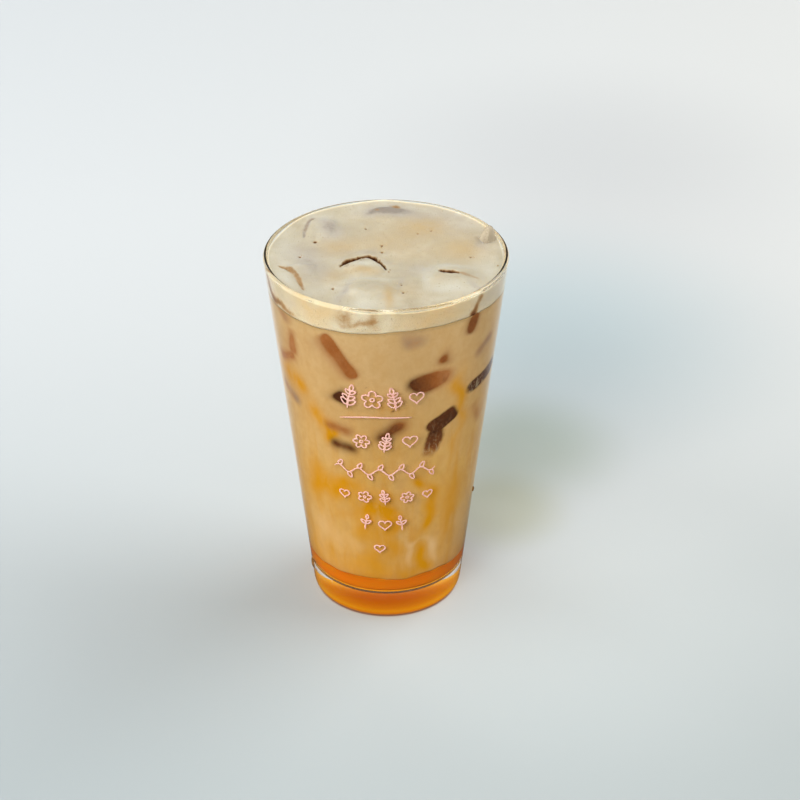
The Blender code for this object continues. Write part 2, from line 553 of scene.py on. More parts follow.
# %% [markdown]
# The outline starts under the middle, in the dome of the hollow, runs out over the ring that
# the tumbler stands on, up the outside, over the rim and down the inside to the floor.

# %% Tumbler
STANDING_RING = FOOT_RADIUS - 0.0050
HOLLOW_LEDGE = 0.0012
HOLLOW_EDGE = 0.0006
HOLLOW_DOME = 0.0028
FOOT_ROUND = 0.0027
FLOOR_ROUND = 0.0026
RIM_ROUND = WALL * 0.45

hollow = [
    (share * (STANDING_RING - HOLLOW_LEDGE), HOLLOW_EDGE + HOLLOW_DOME * (1 - share**3), 0)
    for share in np.linspace(0, 1, 12)
]
tumbler_outline = rounded(
    [
        *hollow,
        (STANDING_RING, 0.0, 0),
        (FOOT_RADIUS, 0.0, FOOT_ROUND),
        (RIM_RADIUS, HEIGHT, RIM_ROUND),
        (RIM_RADIUS - WALL, HEIGHT, RIM_ROUND),
        (inner_radius(FLOOR), FLOOR, FLOOR_ROUND),
        (0.0, FLOOR, 0),
    ],
    12,
)
tumbler_mesh = ring_mesh("tumbler_glass", turned(tumbler_outline, 256))
tumbler_mesh.set_sharp_from_angle(angle=radians(28))
add_piece("tumbler_glass", tumbler_mesh, make_glass(), "clear_glass", "tumbler")
print("tumbler:", len(tumbler_mesh.polygons), "faces")

# %% [markdown]
# ## Where the layers meet
#
# Syrup is heavy and sinks, foam is light and floats, and milky coffee stays between them.
# The lines between the layers are never quite level. Both neighbours use the same line, so
# they meet without a gap and without running through each other. Angles round the glass
# are counted from the front, growing to the right, in degrees.


# %% Lines between the layers
def syrup_line(x, y):
    """Height of the syrup's top: a wide swell of a millimetre with small waves on it."""
    spot = Vector((x, y, 0.0))
    return SYRUP_TOP + 0.0012 * noise.noise(spot * 55.0) + 0.0006 * noise.noise(spot * 210.0)


# angle, height in mm
FOAM_LINE = (
    (-180, 134.3), (-140, 134.9), (-105, 134.2), (-75, 133.0), (-35, 133.2), (-20, 133.9),
    (-5, 134.4), (0, 135.5), (15, 135.7), (38, 135.5), (58, 134.8), (80, 134.0),
    (110, 134.8), (150, 134.0), (180, 134.3),
)


def foam_line(angles):
    """Height where foam meets coffee at each angle, rounded off between the table's points."""
    at, heights = np.array(FOAM_LINE).T
    line = sum(np.interp(angles + shift, at, heights) for shift in (-8, -4, 0, 4, 8)) / 5
    return (line + 0.07 * np.sin(np.radians(angles) * 23)) / 1000


def round_wall(angles, heights, soak=SOAK):
    """Points on the inside of the glass for a grid of angles and heights."""
    r = inner_radius(heights) + soak
    turn = np.radians(angles)
    return np.stack([np.sin(turn) * r, -np.cos(turn) * r, heights], -1)


line_heights = 1000 * foam_line(np.linspace(-180, 180, 73))
print("foam line runs from", line_heights.min().round(1), "to", line_heights.max().round(1), "mm")

# %% [markdown]
# ## Syrup
#
# A finger of orange syrup fills the bottom. Light enters it from all round and comes out
# again glowing, also down through the thick foot, where the glass mirrors it like the foot
# of a lit bottle. A truly clear liquid inside glass needs many light bounces and turns
# noisy, so the syrup is a dense body that gives off a little of its own colour instead,
# which stands for the light that has passed through it.


# %% Syrup finish
CORNER_TOP = 0.0136


def make_syrup_finish():
    finish, tree = new_material("orange_syrup")
    place = own_place(tree)
    up = own_axes(tree, place)[2]
    high = step_between(tree, up, 0.0108, 0.0195)
    band = ramp(
        tree,
        high,
        (0.0, paint(206, 104, 0)),
        (0.6, paint(222, 118, 0)),
        (0.93, paint(215, 111, 0)),
        (1.0, paint(190, 94, 0)),
    )
    drift = clouds(tree, stretched(tree, (60, 60, 220)), 1.0, 4.0, 0.55, 0.6)
    swirl = step_between(tree, drift, 0.35, 0.7)
    colour = mixed(tree, swirl, band, paint(212, 124, 0))
    below = ramp(
        tree,
        step_between(tree, distance(tree, place, (0, 0, 0)), 0.010, 0.0295),
        (0.0, paint(184, 88, 0)),
        (0.5, paint(222, 134, 6)),
        (0.93, paint(252, 182, 26)),
    )
    under = step_between(tree, up, CORNER_TOP, 0.0122)
    glow = mixed(tree, under, paint(80, 40, 0), below)
    shader = principled(
        tree,
        Base_Color=colour,
        Roughness=0.2,
        Specular_IOR_Level=0.05,
        Emission_Color=glow,
        Emission_Strength=0.8,
    )
    finish_with(tree, shader)
    return finish


print("syrup shines down below", round(1000 * CORNER_TOP, 1), "mm")

# %% [markdown]
# The body follows the floor and its round corner, goes straight up the wall, and is closed
# by rings that shrink to the middle. The wavy line between syrup and milk is then added as a
# lift that is full at the top and nothing at the corner.


# %% Syrup
LAYER_GAP = 0.00005
ARC_AIM = (0.0281, 0.018)


def make_syrup():
    steps = 256
    angles = np.linspace(-180, 180, steps, endpoint=False)
    floor = FLOOR - SOAK
    corner = (inner_radius(FLOOR) + SOAK, floor, FLOOR_ROUND)
    base = rounded([(0.0, floor, 0), corner, (*ARC_AIM, 0)], 8)[:-1]
    grid = [turned(base, steps)]
    top = SYRUP_TOP - LAYER_GAP
    for height in np.linspace(CORNER_TOP, top, 12):
        grid.append(round_wall(angles, np.full(steps, height))[None])
    for share in np.linspace(1.0, 0.0, 14)[1:]:
        grid.append(round_wall(angles, np.full(steps, top))[None] * (share, share, 1))
    rows = np.vstack(grid)
    lift = np.array([syrup_line(x, y) - SYRUP_TOP for x, y, _ in rows.reshape(-1, 3)])
    share = np.clip((rows[..., 2] - CORNER_TOP) / (top - CORNER_TOP), 0, 1)
    rows[..., 2] += lift.reshape(rows.shape[:2]) * share
    return ring_mesh("syrup_body", rows)


syrup_mesh = make_syrup()
add_piece("syrup_body", syrup_mesh, make_syrup_finish(), "syrup", "syrup")
print("syrup:", len(syrup_mesh.polygons), "faces")

# %% [markdown]
# ## Coffee on ice
#
# Ice pressed on the glass shows as a brown window with a milky edge, because the coffee
# between the ice and the glass gets thinner and thinner until none is left. The same stain
# is seen on the ice itself and, through the thin milk, round it. One node group gives both
# their colour: a tone from 0, nearly black coffee caught in a crack, to 1, milky ice far
# from the light, with frost and fine cracks drawn by noise. Three small helpers open a
# group, close it and place it in a material.


# %% Stained ice group
def new_group(name, takes, gives):
    """A node group that takes the named floats; gives holds a kind of socket for each name."""
    group = bpy.data.node_groups.new(name, "ShaderNodeTree")
    for label in takes:
        group.interface.new_socket(label, in_out="INPUT", socket_type="NodeSocketFloat")
    for label, kind in gives.items():
        group.interface.new_socket(label, in_out="OUTPUT", socket_type=kind)
    return group, group.nodes.new("NodeGroupInput").outputs


def close_group(group, **results):
    """Join the results to the group's outputs."""
    leave = group.nodes.new("NodeGroupOutput")
    for label, source in results.items():
        group.links.new(source, leave.inputs[label])


def use_group(tree, group, **values):
    """Place a group in a material with its own values, and hand back its outputs."""
    made = tree.nodes.new("ShaderNodeGroup")
    made.node_tree = group
    for label, source in values.items():
        feed(tree, source, made.inputs[label])
    return made.outputs


def make_stain_group():
    group, given = new_group("coffee_stain", ("Tone", "Frost"), {"Color": "NodeSocketColor"})
    place = own_place(group)
    broad = clouds(group, place, 170.0, 4.0, 0.6)
    fine = clouds(group, place, 900.0, 4.0, 0.65)
    wander = sum_of(group, "MULTIPLY_ADD", broad, 0.34, -0.17)
    tone = sum_of(group, "ADD", given["Tone"], wander)
    grit = sum_of(group, "MULTIPLY_ADD", fine, 0.20, -0.10)
    tone = sum_of(group, "ADD", tone, grit, clamp=True)
    stain = ramp(
        group,
        tone,
        (0.0, paint(58, 30, 12)),
        (0.15, paint(84, 44, 14)),
        (0.35, paint(122, 70, 30)),
        (0.55, paint(158, 94, 42)),
        (0.8, paint(184, 128, 78)),
        (1.0, paint(158, 134, 112)),
    )
    cracks = clouds(group, stretched(group, (640, 640, 240)), 1.0, 4.0, 0.6, 0.8)
    rime = step_between(group, cracks, 0.50, 0.66, 0.0, 0.85)
    speck = step_between(group, fine, 0.56, 0.70, 0.0, 0.6)
    frost = sum_of(group, "MAXIMUM", rime, speck)
    frost = sum_of(group, "MULTIPLY", frost, given["Frost"], clamp=True)
    close_group(group, Color=mixed(group, frost, stain, paint(176, 156, 124)))
    return group


stain_group = make_stain_group()


def stained(tree, tone, frost):
    """The colour of stained ice, from the stain group."""
    return use_group(tree, stain_group, Tone=tone, Frost=frost)["Color"]


print("stain group has", len(stain_group.nodes), "nodes")

# %% [markdown]
# ## Ice blocks
#
# Ice from a tray starts as a block with flat sides and melts into something rounder, with
# soft dents. A gridded cube pulled onto a superellipsoid gives just that: one number goes
# from a ball, 2, to a crisp box, 10. `block_mesh` makes one block at any place and size.
# The dents come from smooth noise, so they are the same on every run.


# %% Block builder
def cube_grid(cuts):
    """Corner points and faces of a cube two units wide, cut into a fine grid."""
    bm = bmesh.new()
    bmesh.ops.create_cube(bm, size=2.0)
    bmesh.ops.subdivide_edges(bm, edges=bm.edges, cuts=cuts, use_grid_fill=True)
    points = np.array([vert.co for vert in bm.verts])
    faces = [[vert.index for vert in face.verts] for face in bm.faces]
    bm.free()
    return points, faces


CUBE, CUBE_FACES = cube_grid(26)
DENT_SCALE = 1.3
KNOB_SCALE = 3.6


def worn_block(size, square, taper, drift, dent=0.0005, knobs=0.0):
    """Points of a melted block round its own middle, long side up; dent and knobs in metres."""
    worn = CUBE / (np.abs(CUBE) ** square).sum(1, keepdims=True) ** (1 / square)
    narrow = 1 - taper * (worn[:, 2:] + 1) / 2
    local = worn * np.array(size) / 2
    local[:, :2] *= narrow
    away = worn / np.linalg.norm(worn, axis=1, keepdims=True)
    shift = Vector((drift, 0, 0))

    def hills(scale, tall):
        return np.array([tall * noise.noise(Vector(spot * scale) + shift) for spot in worn])

    depth = hills(DENT_SCALE, dent)
    if knobs:
        depth += hills(KNOB_SCALE, knobs)
    return local + away * depth[:, None]


def block_mesh(name, points):
    return smooth_mesh(name, points.tolist(), CUBE_FACES)


print("a block has", len(CUBE_FACES), "faces")

# %% [markdown]
# ## The blocks that break the foam
#
# Seven blocks float high enough to lift or break the foam. Each takes the place of its
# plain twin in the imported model: same middle, same size, same lean, only finer.

# %% Floating ice
# name: middle (m), size (m), lean (degrees about X, Y, Z), squareness, taper towards the top
FLOATING_ICE = {
    "ice_centre": ((-0.0083, -0.0115, 0.1367), (0.0145, 0.0145, 0.0180), (7, 0, 37), 5.0, 0.08),
    "ice_front": ((-0.0058, -0.0295, 0.1368), (0.0190, 0.0140, 0.0170), (-7, 4, -4), 4.5, 0.08),
    "ice_right": ((0.0236, -0.0166, 0.1368), (0.0200, 0.0195, 0.0165), (-4, 3, -17), 4.0, 0.06),
    "ice_corner": ((0.0366, 0.0112, 0.1381), (0.0100, 0.0110, 0.0230), (-3, 13, 18), 2.8, 0.55),
    "ice_back": ((0.0008, 0.0333, 0.1357), (0.0175, 0.0145, 0.0180), (7, 6, 2), 4.5, 0.08),
    "ice_rear_left": ((-0.0240, 0.0218, 0.1354), (0.0150, 0.0165, 0.0190), (5, -7, -11), 4.5, 0.08),
    "ice_left": ((-0.0297, -0.0136, 0.1352), (0.0140, 0.0180, 0.0190), (4, 8, 22), 4.5, 0.08),
}


ICE_IOR = 1.31


def make_ice_finish():
    finish, tree = new_material("milky_ice")
    place = own_place(tree)
    tone = stored(tree, "stain")
    pale = ramp(
        tree,
        clouds(tree, place, 160.0, 4.0, 0.6),
        (0.3, paint(176, 162, 138)),
        (0.7, paint(208, 194, 168)),
    )
    brown = stained(tree, 0.3, 0.1)
    colour = mixed(tree, tone, pale, brown)
    ripples = clouds(tree, place, 420.0, 4.0)
    shader = principled(
        tree,
        Base_Color=colour,
        Roughness=step_between(tree, ripples, 0.3, 0.7, 0.12, 0.3),
        IOR=ICE_IOR,
        Transmission_Weight=0.35,
        Normal=bumped(tree, 0.35, 0.0004, ripples),
    )
    finish_with(tree, shader)
    return finish


ice_finish = make_ice_finish()
ice_meshes = {}
for count, (name, (middle, size, lean, square, taper)) in enumerate(FLOATING_ICE.items()):
    turn = np.array(Euler([radians(a) for a in lean]).to_matrix())
    spots = worn_block(size, square, taper, 7.0 * count) @ turn.T + np.array(middle)
    ice_meshes[name] = block_mesh(f"{name}_block", spots)
print("floating blocks:", len(ice_meshes))

# %% [markdown]
# ## Ice pressed on the glass
#
# Under the foam more blocks lean on the wall. Each row of the table places one by the spot
# where it touches: the angle and height there, how its long side rolls and tips, how it
# turns about that side, its size, and how far it would press into the glass. What sticks
# out is cut off along the wall, so the brown window on the glass has the true outline of a
# block's flat, edge or corner against a cone. The rest of the block stays in the drink,
# behind the milk, and shows more weakly the deeper it lies.

# %% Sunk ice table
# angle (degrees), height (mm), roll, turn and tip (degrees), long, wide, deep and press (mm),
# squareness, tone at the low end and at the high end, frost, taper towards the high end;
# frost whitens the low end and makes the block knobbier
SunkBlock = namedtuple(
    "SunkBlock",
    "angle height roll turn tip long wide deep press square low_tone high_tone frost taper",
)
SUNK_ICE = (
    (-23.8, 123.4, -33, -26, 0, 21.5, 17, 17, 0.80, 7, 0.55, 0.60, 0.0, 0.0),
    (-54.5, 119.5, 6, -38, 6, 13, 14, 14, 0.55, 5, 0.75, 0.68, 0.0, 0.0),
    (-60.0, 113.6, 62, -40, -4, 14, 13, 13, 0.35, 5, 0.74, 0.76, 0.0, 0.0),
    (-25.2, 105.0, 20, 40, 36, 14, 13, 13, 1.25, 6, 0.08, 0.20, 0.0, 0.0),
    (-64.0, 96.0, -70, 30, 0, 15, 14, 12, -0.05, 4, 0.92, 0.90, 0.0, 0.0),
    (-25.6, 82.6, 96, 42, 0, 13, 14, 14, 0.05, 4, 0.16, 0.20, 0.0, 0.0),
    (-28.0, 90.2, 97, -32, 0, 13, 12, 12, 0.0, 4, 0.60, 0.62, 0.0, 0.0),
    (4.6, 92.6, 47, 42, 0, 18, 14, 14, 0.36, 3.2, 0.12, 0.62, 0.1, 0.0),
    (21.5, 112.3, 82, 5, 5, 20.5, 12.0, 13, 1.1, 2.4, 0.10, 0.92, 0.1, 0.0),
    (31.8, 92.6, 63, 3, 0, 14.0, 7.6, 13, 1.2, 4.0, 0.16, 0.10, 0.3, 0.0),
    (27.4, 86.0, 14, 4, 0, 14.0, 7.0, 10, 1.0, 3.4, 0.50, 0.12, 1.0, -0.25),
    (56.0, 103.2, 84, 12, 8, 22, 7, 13, 0.9, 3.2, 0.08, 0.22, 0.9, 0.0),
    (47.0, 134.0, 15, 40, 0, 18, 15, 15, 1.0, 6, 0.40, 0.50, 0.0, 0.0),
    (11.5, 130.6, -15, 15, 10, 15, 12, 12, -0.12, 3, 0.95, 0.95, 0.0, 0.0),
    (29.5, 120.6, 15, 40, 30, 11, 10, 10, 0.42, 4, 0.44, 0.44, 0.0, 0.0),
    (59.0, 118.8, 58, 30, 0, 13, 12, 12, -0.02, 4, 0.95, 0.92, 0.0, 0.0),
    (-64.0, 134.0, -48, 25, 0, 22, 15, 15, -0.15, 4, 0.86, 0.86, 0.0, 0.0),
    (61.0, 87.5, -30, 30, 0, 14, 12, 12, -0.35, 4, 0.60, 0.70, 0.0, 0.0),
)

print("blocks in front:", len(SUNK_ICE))

# %% [markdown]
# Round the back any blocks will do, as long as they look like the same ice. They come from a
# fixed seed, in two rows, with a gap here and there.


# %% Sunk ice round the back
def ice_behind():
    """More blocks of the same kind round the back, from a fixed seed."""
    dice = np.random.default_rng(11)
    blocks = []
    for angle in (92, 118, 141, 166, 190, 214, 238, 262):
        for low, high in ((84, 98), (106, 122)):
            if dice.random() < 0.25:
                continue
            side = dice.uniform(11, 16, 3)
            blocks.append(
                SunkBlock(
                    angle=angle + dice.uniform(-6, 6),
                    height=dice.uniform(low, high),
                    roll=dice.uniform(-80, 80),
                    turn=dice.choice([-1, 1]) * dice.uniform(5, 42),
                    tip=dice.uniform(-10, 12),
                    long=side[0] + 3,
                    wide=side[1],
                    deep=side[2],
                    press=dice.uniform(-0.2, 1.1),
                    square=dice.uniform(3.5, 6),
                    low_tone=dice.uniform(0.1, 0.6),
                    high_tone=dice.uniform(0.4, 0.9),
                    frost=dice.uniform(0, 0.5),
                    taper=0.1,
                )
            )
    return blocks


pressed_ice = [SunkBlock(*row) for row in SUNK_ICE] + ice_behind()
print("blocks against the wall:", len(pressed_ice))

# %% [markdown]
# To place a block, its three sides are first worked out as directions on the wall: out of
# the glass, along it to the right, and up it. The block is turned in those directions and
# then slid straight out until its outermost edge reaches the press distance.


# %% Place the sunk blocks
SUNK_DENT = 0.0004
PLAIN_KNOBS = 0.0001
FROST_KNOBS = 0.0003
CREST_DEPTH = 0.0004


def spin_about(axis, angle):
    return np.array(Matrix.Rotation(radians(angle), 3, Vector(axis)))


def wall_directions(angle, height):
    """A spot on the inside of the glass with the directions out, right and up along the wall."""
    turn = radians(angle)
    spot = round_wall(np.float64(angle), np.float64(height), 0.0)
    out = Vector((sin(turn), -cos(turn), -SLOPE)).normalized()
    right = Vector((cos(turn), sin(turn), 0))
    up = right.cross(out) * -1
    return spot, np.array(out), np.array(right), np.array(up)


def lean_on_wall(block, drift):
    """World points of a block, with the turn and middle that put them there."""
    spot, out, right, up = wall_directions(block.angle, block.height / 1000)
    roll, tip = radians(block.roll), radians(block.tip)
    along = cos(roll) * up + sin(roll) * right
    spine = cos(tip) * along - sin(tip) * out
    face = cos(tip) * out + sin(tip) * along
    lean = spin_about(spine, block.turn)
    axes = np.stack([lean @ np.cross(spine, face), lean @ face, spine], 1)
    size = np.array((block.wide, block.deep, block.long)) / 1000
    knobs = PLAIN_KNOBS + FROST_KNOBS * block.frost
    local = worn_block(size, block.square, block.taper, drift, SUNK_DENT, knobs)
    turned_points = local @ axes.T
    reach = turned_points @ out
    crest = turned_points[reach > reach.max() - CREST_DEPTH].mean(0)
    middle = spot + out * block.press / 1000 - crest + out * (crest @ out - reach.max())
    return turned_points + middle, axes, middle, size / 2


print("up the wall in front:", np.round(wall_directions(0, 0.1)[3], 3))

# %% [markdown]
# Two things are read from the placed blocks. The milk in front of the ice: a ray is sent
# from each point of the glass straight in, and the shorter its way to a block, the more the
# block shows; milky coffee hides nearly everything behind a millimetre or two. And the tone
# there, from where the ray lands on the block.

# %% Milk in front of the ice
placed = [lean_on_wall(block, 3.0 * i) for i, block in enumerate(pressed_ice)]
block_points = np.vstack([points for points, *_ in placed])
block_faces = [
    [corner + i * len(CUBE) for corner in face] for i in range(len(placed)) for face in CUBE_FACES
]
pressed_tree = BVHTree.FromPolygons(block_points.tolist(), block_faces)
MILK_DEPTH = 0.0009
RAY_LEAD = 0.003
RAY_REACH = 0.005
HIDDEN_TONE = 0.6


def block_tone(index, spots):
    """Tone and frost of one block at world points, from where they lie along it."""
    _, axes, middle, half = placed[index]
    block = pressed_ice[index]
    local = (np.atleast_2d(spots) - middle) @ axes / half
    along = np.clip(0.5 + 0.5 * local[:, 2], 0, 1)
    tone = block.low_tone + (block.high_tone - block.low_tone) * along
    return tone, block.frost * np.clip(1.2 - 1.3 * along, 0.1, 1)


def look_through_milk(spots):
    """How much of the ice shows at each point of the wall, its tone and its frost."""
    shown = np.zeros(len(spots))
    tone = np.full(len(spots), HIDDEN_TONE)
    frost = np.zeros(len(spots))
    outward = spots * (1, 1, 0)
    outward /= np.linalg.norm(outward, axis=1, keepdims=True)
    outward[:, 2] = -SLOPE
    for i, (spot, out) in enumerate(zip(spots.tolist(), outward.tolist())):
        start = Vector(spot) + Vector(out) * RAY_LEAD
        hit, _, face, gap = pressed_tree.ray_cast(start, -Vector(out), RAY_LEAD + RAY_REACH)
        if hit is None:
            continue
        shown[i] = exp(-max(0.0, gap - RAY_LEAD * hypot(1, SLOPE)) / MILK_DEPTH)
        values = block_tone(face // len(CUBE_FACES), hit)
        tone[i], frost[i] = values[0][0], values[1][0]
    return shown, tone, frost


print("points on the pressed blocks:", len(block_points))

# %% [markdown]
# ## Milky coffee
#
# Milk turns coffee opaque, so this layer is a dense body whose skin lies just inside the
# glass. Its colour drifts from grey beige under the foam to deep gold above the syrup, with
# soft upright streaks where syrup has been stirred up. Those streaks belong to this one
# drink, so they are laid on as soft dabs: place, half size and strength. A negative dab is
# pale, where more milk has stayed.

# %% Syrup streaks
# angle, height (mm), half width (degrees), half height (mm), strength
STREAKS = (
    (-41, 92, 7, 5, 0.9), (-35, 87, 4, 4, 1.0), (-60, 105, 10, 5, 0.75), (-50, 103, 6, 4, 0.55),
    (-38, 62, 15, 6, 0.9), (-52, 57, 9, 5, 0.6), (-24, 66, 8, 3, 0.55), (-30, 50, 12, 3, 0.25),
    (-8, 54, 9, 4, 1.0), (2, 52, 8, 4, 0.95), (-4, 60, 8, 3, 0.5), (6, 45, 8, 4, 0.75),
    (-6, 42, 10, 5, 0.6), (4, 37, 9, 4, 0.45), (-14, 48, 5, 7, 0.5), (20, 66, 3.6, 4, 1.0),
    (26, 60, 4, 3, 0.5), (28, 51, 4.5, 8, 0.9), (29, 43, 3, 4, 0.8), (23, 29, 4, 7, 1.0),
    (26, 22, 6, 3, 0.7), (-10, 26, 8, 8, 0.5), (10, 22, 8, 2.5, 0.6), (6, 33, 4, 4, 0.35),
    (43, 104, 5, 8, 0.8), (44, 91, 3.5, 9, 0.5), (43, 77, 3, 7, 0.25), (40, 60, 8, 8, 0.3),
    (47, 48, 6, 14, 0.45),
    (64, 34, 12, 16, -0.4), (-66, 40, 6, 5, 0.35), (-40, 24, 18, 6, 0.15), (0, 103, 9, 3, 0.35),
    (31, 33, 4, 4, -0.6), (15, 33, 3, 6, -0.55), (34, 27, 3, 5, -0.4), (12, 42, 4, 3, -0.3),
    (-45, 38, 14, 8, -0.35), (-20, 36, 9, 5, -0.25), (40, 70, 5, 8, -0.15), (20, 37, 8, 1.5, -0.4),
    (110, 60, 12, 12, 0.5), (150, 45, 10, 9, 0.7), (-150, 62, 12, 7, 0.6), (-110, 40, 10, 12, 0.5),
    (180, 30, 14, 8, 0.5), (-95, 70, 8, 9, 0.35),
)
# brown specks of coffee on the glass, in the same five numbers
SPECKS = ((2.7, 101.3, 0.9, 0.55, 0.9), (-8, 109, 0.5, 0.4, 0.35))


def wall_dabs(dabs, angles, heights):
    """Sum of the dabs at each point, pulled out of round by slow waves."""
    total = np.zeros(angles.shape)
    sway = 2.5 * np.sin(heights * 190) + 1.5 * np.sin(heights * 470 + 1)
    lift = 1.2 * np.sin(np.radians(angles) * 9) + 0.8 * np.sin(np.radians(angles) * 21 + 2)
    for angle, height, wide, tall, strength in dabs:
        across = (angles + sway - angle + 180) % 360 - 180
        above = heights * 1000 + lift - height
        total += strength * np.exp(-((across / wide) ** 2) - (above / tall) ** 2)
    return np.clip(total, -1, 1)


print("streaks laid on:", len(STREAKS))

# %% [markdown]
# The finish mixes, in this order: a colour for the height, soft clouds, a fine mottle,
# upright threads of syrup, the dabs, the stained ice where the milk is thin, and at last a
# darker line just under the foam.


# %% Milky coffee finish
MILK_LOW = 0.019
MILK_HIGH = 0.136


def make_latte_finish():
    finish, tree = new_material("milky_coffee")
    up = own_axes(tree, own_place(tree))[2]
    base = ramp(
        tree,
        node(tree, "ShaderNodeMapRange", up, MILK_LOW, MILK_HIGH),
        (0.0, paint(206, 140, 44)),
        (0.03, paint(222, 164, 62)),
        (0.20, paint(218, 172, 88)),
        (0.42, paint(218, 176, 98)),
        (0.62, paint(213, 175, 112)),
        (0.85, paint(212, 178, 124)),
        (0.985, paint(213, 181, 130)),
        (1.0, paint(196, 168, 122)),
    )
    soft = clouds(tree, stretched(tree, (55, 55, 30)), 1.0, 3.0, 0.5, 0.4)
    cloud = step_between(tree, soft, 0.38, 0.66, 0.0, 0.30)
    colour = mixed(tree, cloud, base, paint(226, 196, 146))
    mottle = clouds(tree, stretched(tree, (260, 260, 200)), 1.0, 5.0, 0.7, 0.3)
    mottle = step_between(tree, mottle, 0.3, 0.7, 0.0, 0.40)
    colour = mixed(tree, mottle, colour, paint(198, 152, 88))
    thread = clouds(tree, stretched(tree, (190, 190, 26)), 1.0, 5.0, 0.6, 0.5)
    thread = step_between(tree, thread, 0.42, 0.72, 0.0, 0.5)
    fade = step_between(tree, up, 0.118, 0.05)
    thread = sum_of(tree, "MULTIPLY", thread, fade)
    colour = mixed(tree, thread, colour, paint(212, 150, 34))
    streak = stored(tree, "streak")
    torn = clouds(tree, stretched(tree, (150, 150, 60)), 1.0, 5.0, 0.6, 0.8)
    torn = step_between(tree, torn, 0.25, 0.62, 0.55, 1.15)
    rich = sum_of(tree, "MULTIPLY", streak, torn, clamp=True)
    colour = mixed(tree, rich, colour, paint(216, 152, 0))
    poor = sum_of(tree, "MULTIPLY", streak, -1.0, clamp=True)
    colour = mixed(tree, poor, colour, paint(236, 206, 156))
    ice = stained(tree, stored(tree, "tone"), stored(tree, "frost"))
    colour = mixed(tree, stored(tree, "film"), colour, ice)
    colour = mixed(tree, stored(tree, "edge"), colour, paint(168, 138, 90))
    shader = principled(tree, Base_Color=colour, Roughness=0.45, Specular_IOR_Level=0.05)
    finish_with(tree, shader)
    return finish


print("milky coffee goes from", round(1000 * SYRUP_TOP, 1), "to about 134 mm")

# %% [markdown]
# The skin is a fine grid of rings, from the syrup line up to the foam line, closed below
# and above by flat discs that nobody sees. Every point of it carries how much ice shows
# there, with its tone and frost, how much syrup there is, and how near the foam is.


# %% Milky coffee
EDGE_FADE = 0.55  # mm
SPECK_SHARE = 0.25
SPECK_TONE = 0.15


def make_latte():
    steps, levels = 412, 212
    angles = np.linspace(-180, 180, steps, endpoint=False)
    spots = round_wall(angles, np.full(steps, SYRUP_TOP))
    low = np.array([syrup_line(x, y) for x, y, _ in spots])
    high = foam_line(angles)
    share = np.linspace(0, 1, levels)[:, None]
    heights = low + (high - low) * share
    wide = np.broadcast_to(angles, heights.shape)
    wall = round_wall(wide, heights)
    bottom = [wall[:1] * (part, part, 1) for part in (0.0, 0.5)]
    top = [wall[-1:] * (part, part, 1) for part in (0.5, 0.0)]
    rows = np.vstack([*bottom, wall, *top])
    mesh = ring_mesh("milky_coffee_body", rows)
    shown, tone, frost = look_through_milk(wall.reshape(-1, 3))
    streak = wall_dabs(STREAKS, wide, heights).ravel()
    edge = np.exp((heights - high) * 1000 / EDGE_FADE).ravel()
    speck = wall_dabs(SPECKS, wide, heights).ravel()
    shown, tone = np.maximum(shown, speck), np.where(speck > SPECK_SHARE, SPECK_TONE, tone)
    unseen = np.zeros(1 + steps)
    layers = {"film": shown, "tone": tone, "frost": frost, "streak": streak, "edge": edge}
    for name, values in layers.items():
        store(mesh, name, np.concatenate([unseen, values, unseen]))
    return mesh


latte_mesh = make_latte()
add_piece("milky_coffee_body", latte_mesh, make_latte_finish(), "milky_coffee", "latte")
print("milky coffee:", len(latte_mesh.polygons), "faces")

# %% [markdown]
# Now the blocks themselves. They are painted with the same tones as the milk in front of
# them, so that a window and the block in it are of one colour.


# %% Stained ice finish
def make_stained_ice():
    finish, tree = new_material("stained_ice")
    colour = stained(tree, stored(tree, "tone"), stored(tree, "frost"))
    bump = bumped(tree, 0.2, 0.0003, clouds(tree, own_place(tree), 600.0))
    finish_with(tree, principled(tree, Base_Color=colour, Roughness=0.3, IOR=ICE_IOR, Normal=bump))
    return finish


stained_ice = make_stained_ice()
print("stained ice has", len(stained_ice.node_tree.nodes), "nodes")

# %% [markdown]
# Each block is cut to what lies inside the glass with a Boolean against a cone a whisker
# wider than the milk's skin, so the flat of a window stands just proud of the milk and its
# outline is a real edge.

# %% Cut the sunk blocks along the wall
PROUD = 0.00005
CUT_LOW, CUT_HIGH = 0.07, 0.1352


def inside_of_glass():
    """The cone that the blocks are cut to, from below the lowest block to the foam."""
    soak = SOAK + PROUD
    wall = [(inner_radius(z) + soak, z) for z in (CUT_LOW, CUT_HIGH)]
    outline = [(0, CUT_LOW), *wall, (0, CUT_HIGH)]
    return put_in_scene("inside_of_glass", ring_mesh("inside_of_glass", turned(outline, 256)))


def cut_to(mesh, cutter):
    """A new mesh: what of a mesh lies inside the cutter, by an exact Boolean."""
    raw = put_in_scene("raw_block", mesh)
    step = raw.modifiers.new("cut", "BOOLEAN")
    step.operation = "INTERSECT"
    step.solver = "EXACT"
    step.object = cutter
    bpy.context.view_layer.update()
    seen = raw.evaluated_get(bpy.context.evaluated_depsgraph_get())
    left = bpy.data.meshes.new_from_object(seen)
    bpy.data.objects.remove(raw)
    return left


cutter = inside_of_glass()
for index, (points, *_) in enumerate(placed):
    left = cut_to(block_mesh(f"sunk_raw_{index}", points), cutter)
    left.name = f"sunk_ice_{index}"
    left.set_sharp_from_angle(angle=radians(25))
    spots = np.array([vert.co for vert in left.vertices])
    tone, frost = block_tone(index, spots)
    store(left, "tone", tone)
    store(left, "frost", frost)
    add_piece(f"sunk_ice_{index}", left, stained_ice, "ice")
bpy.data.objects.remove(cutter)
print("sunk blocks cut:", len(placed))

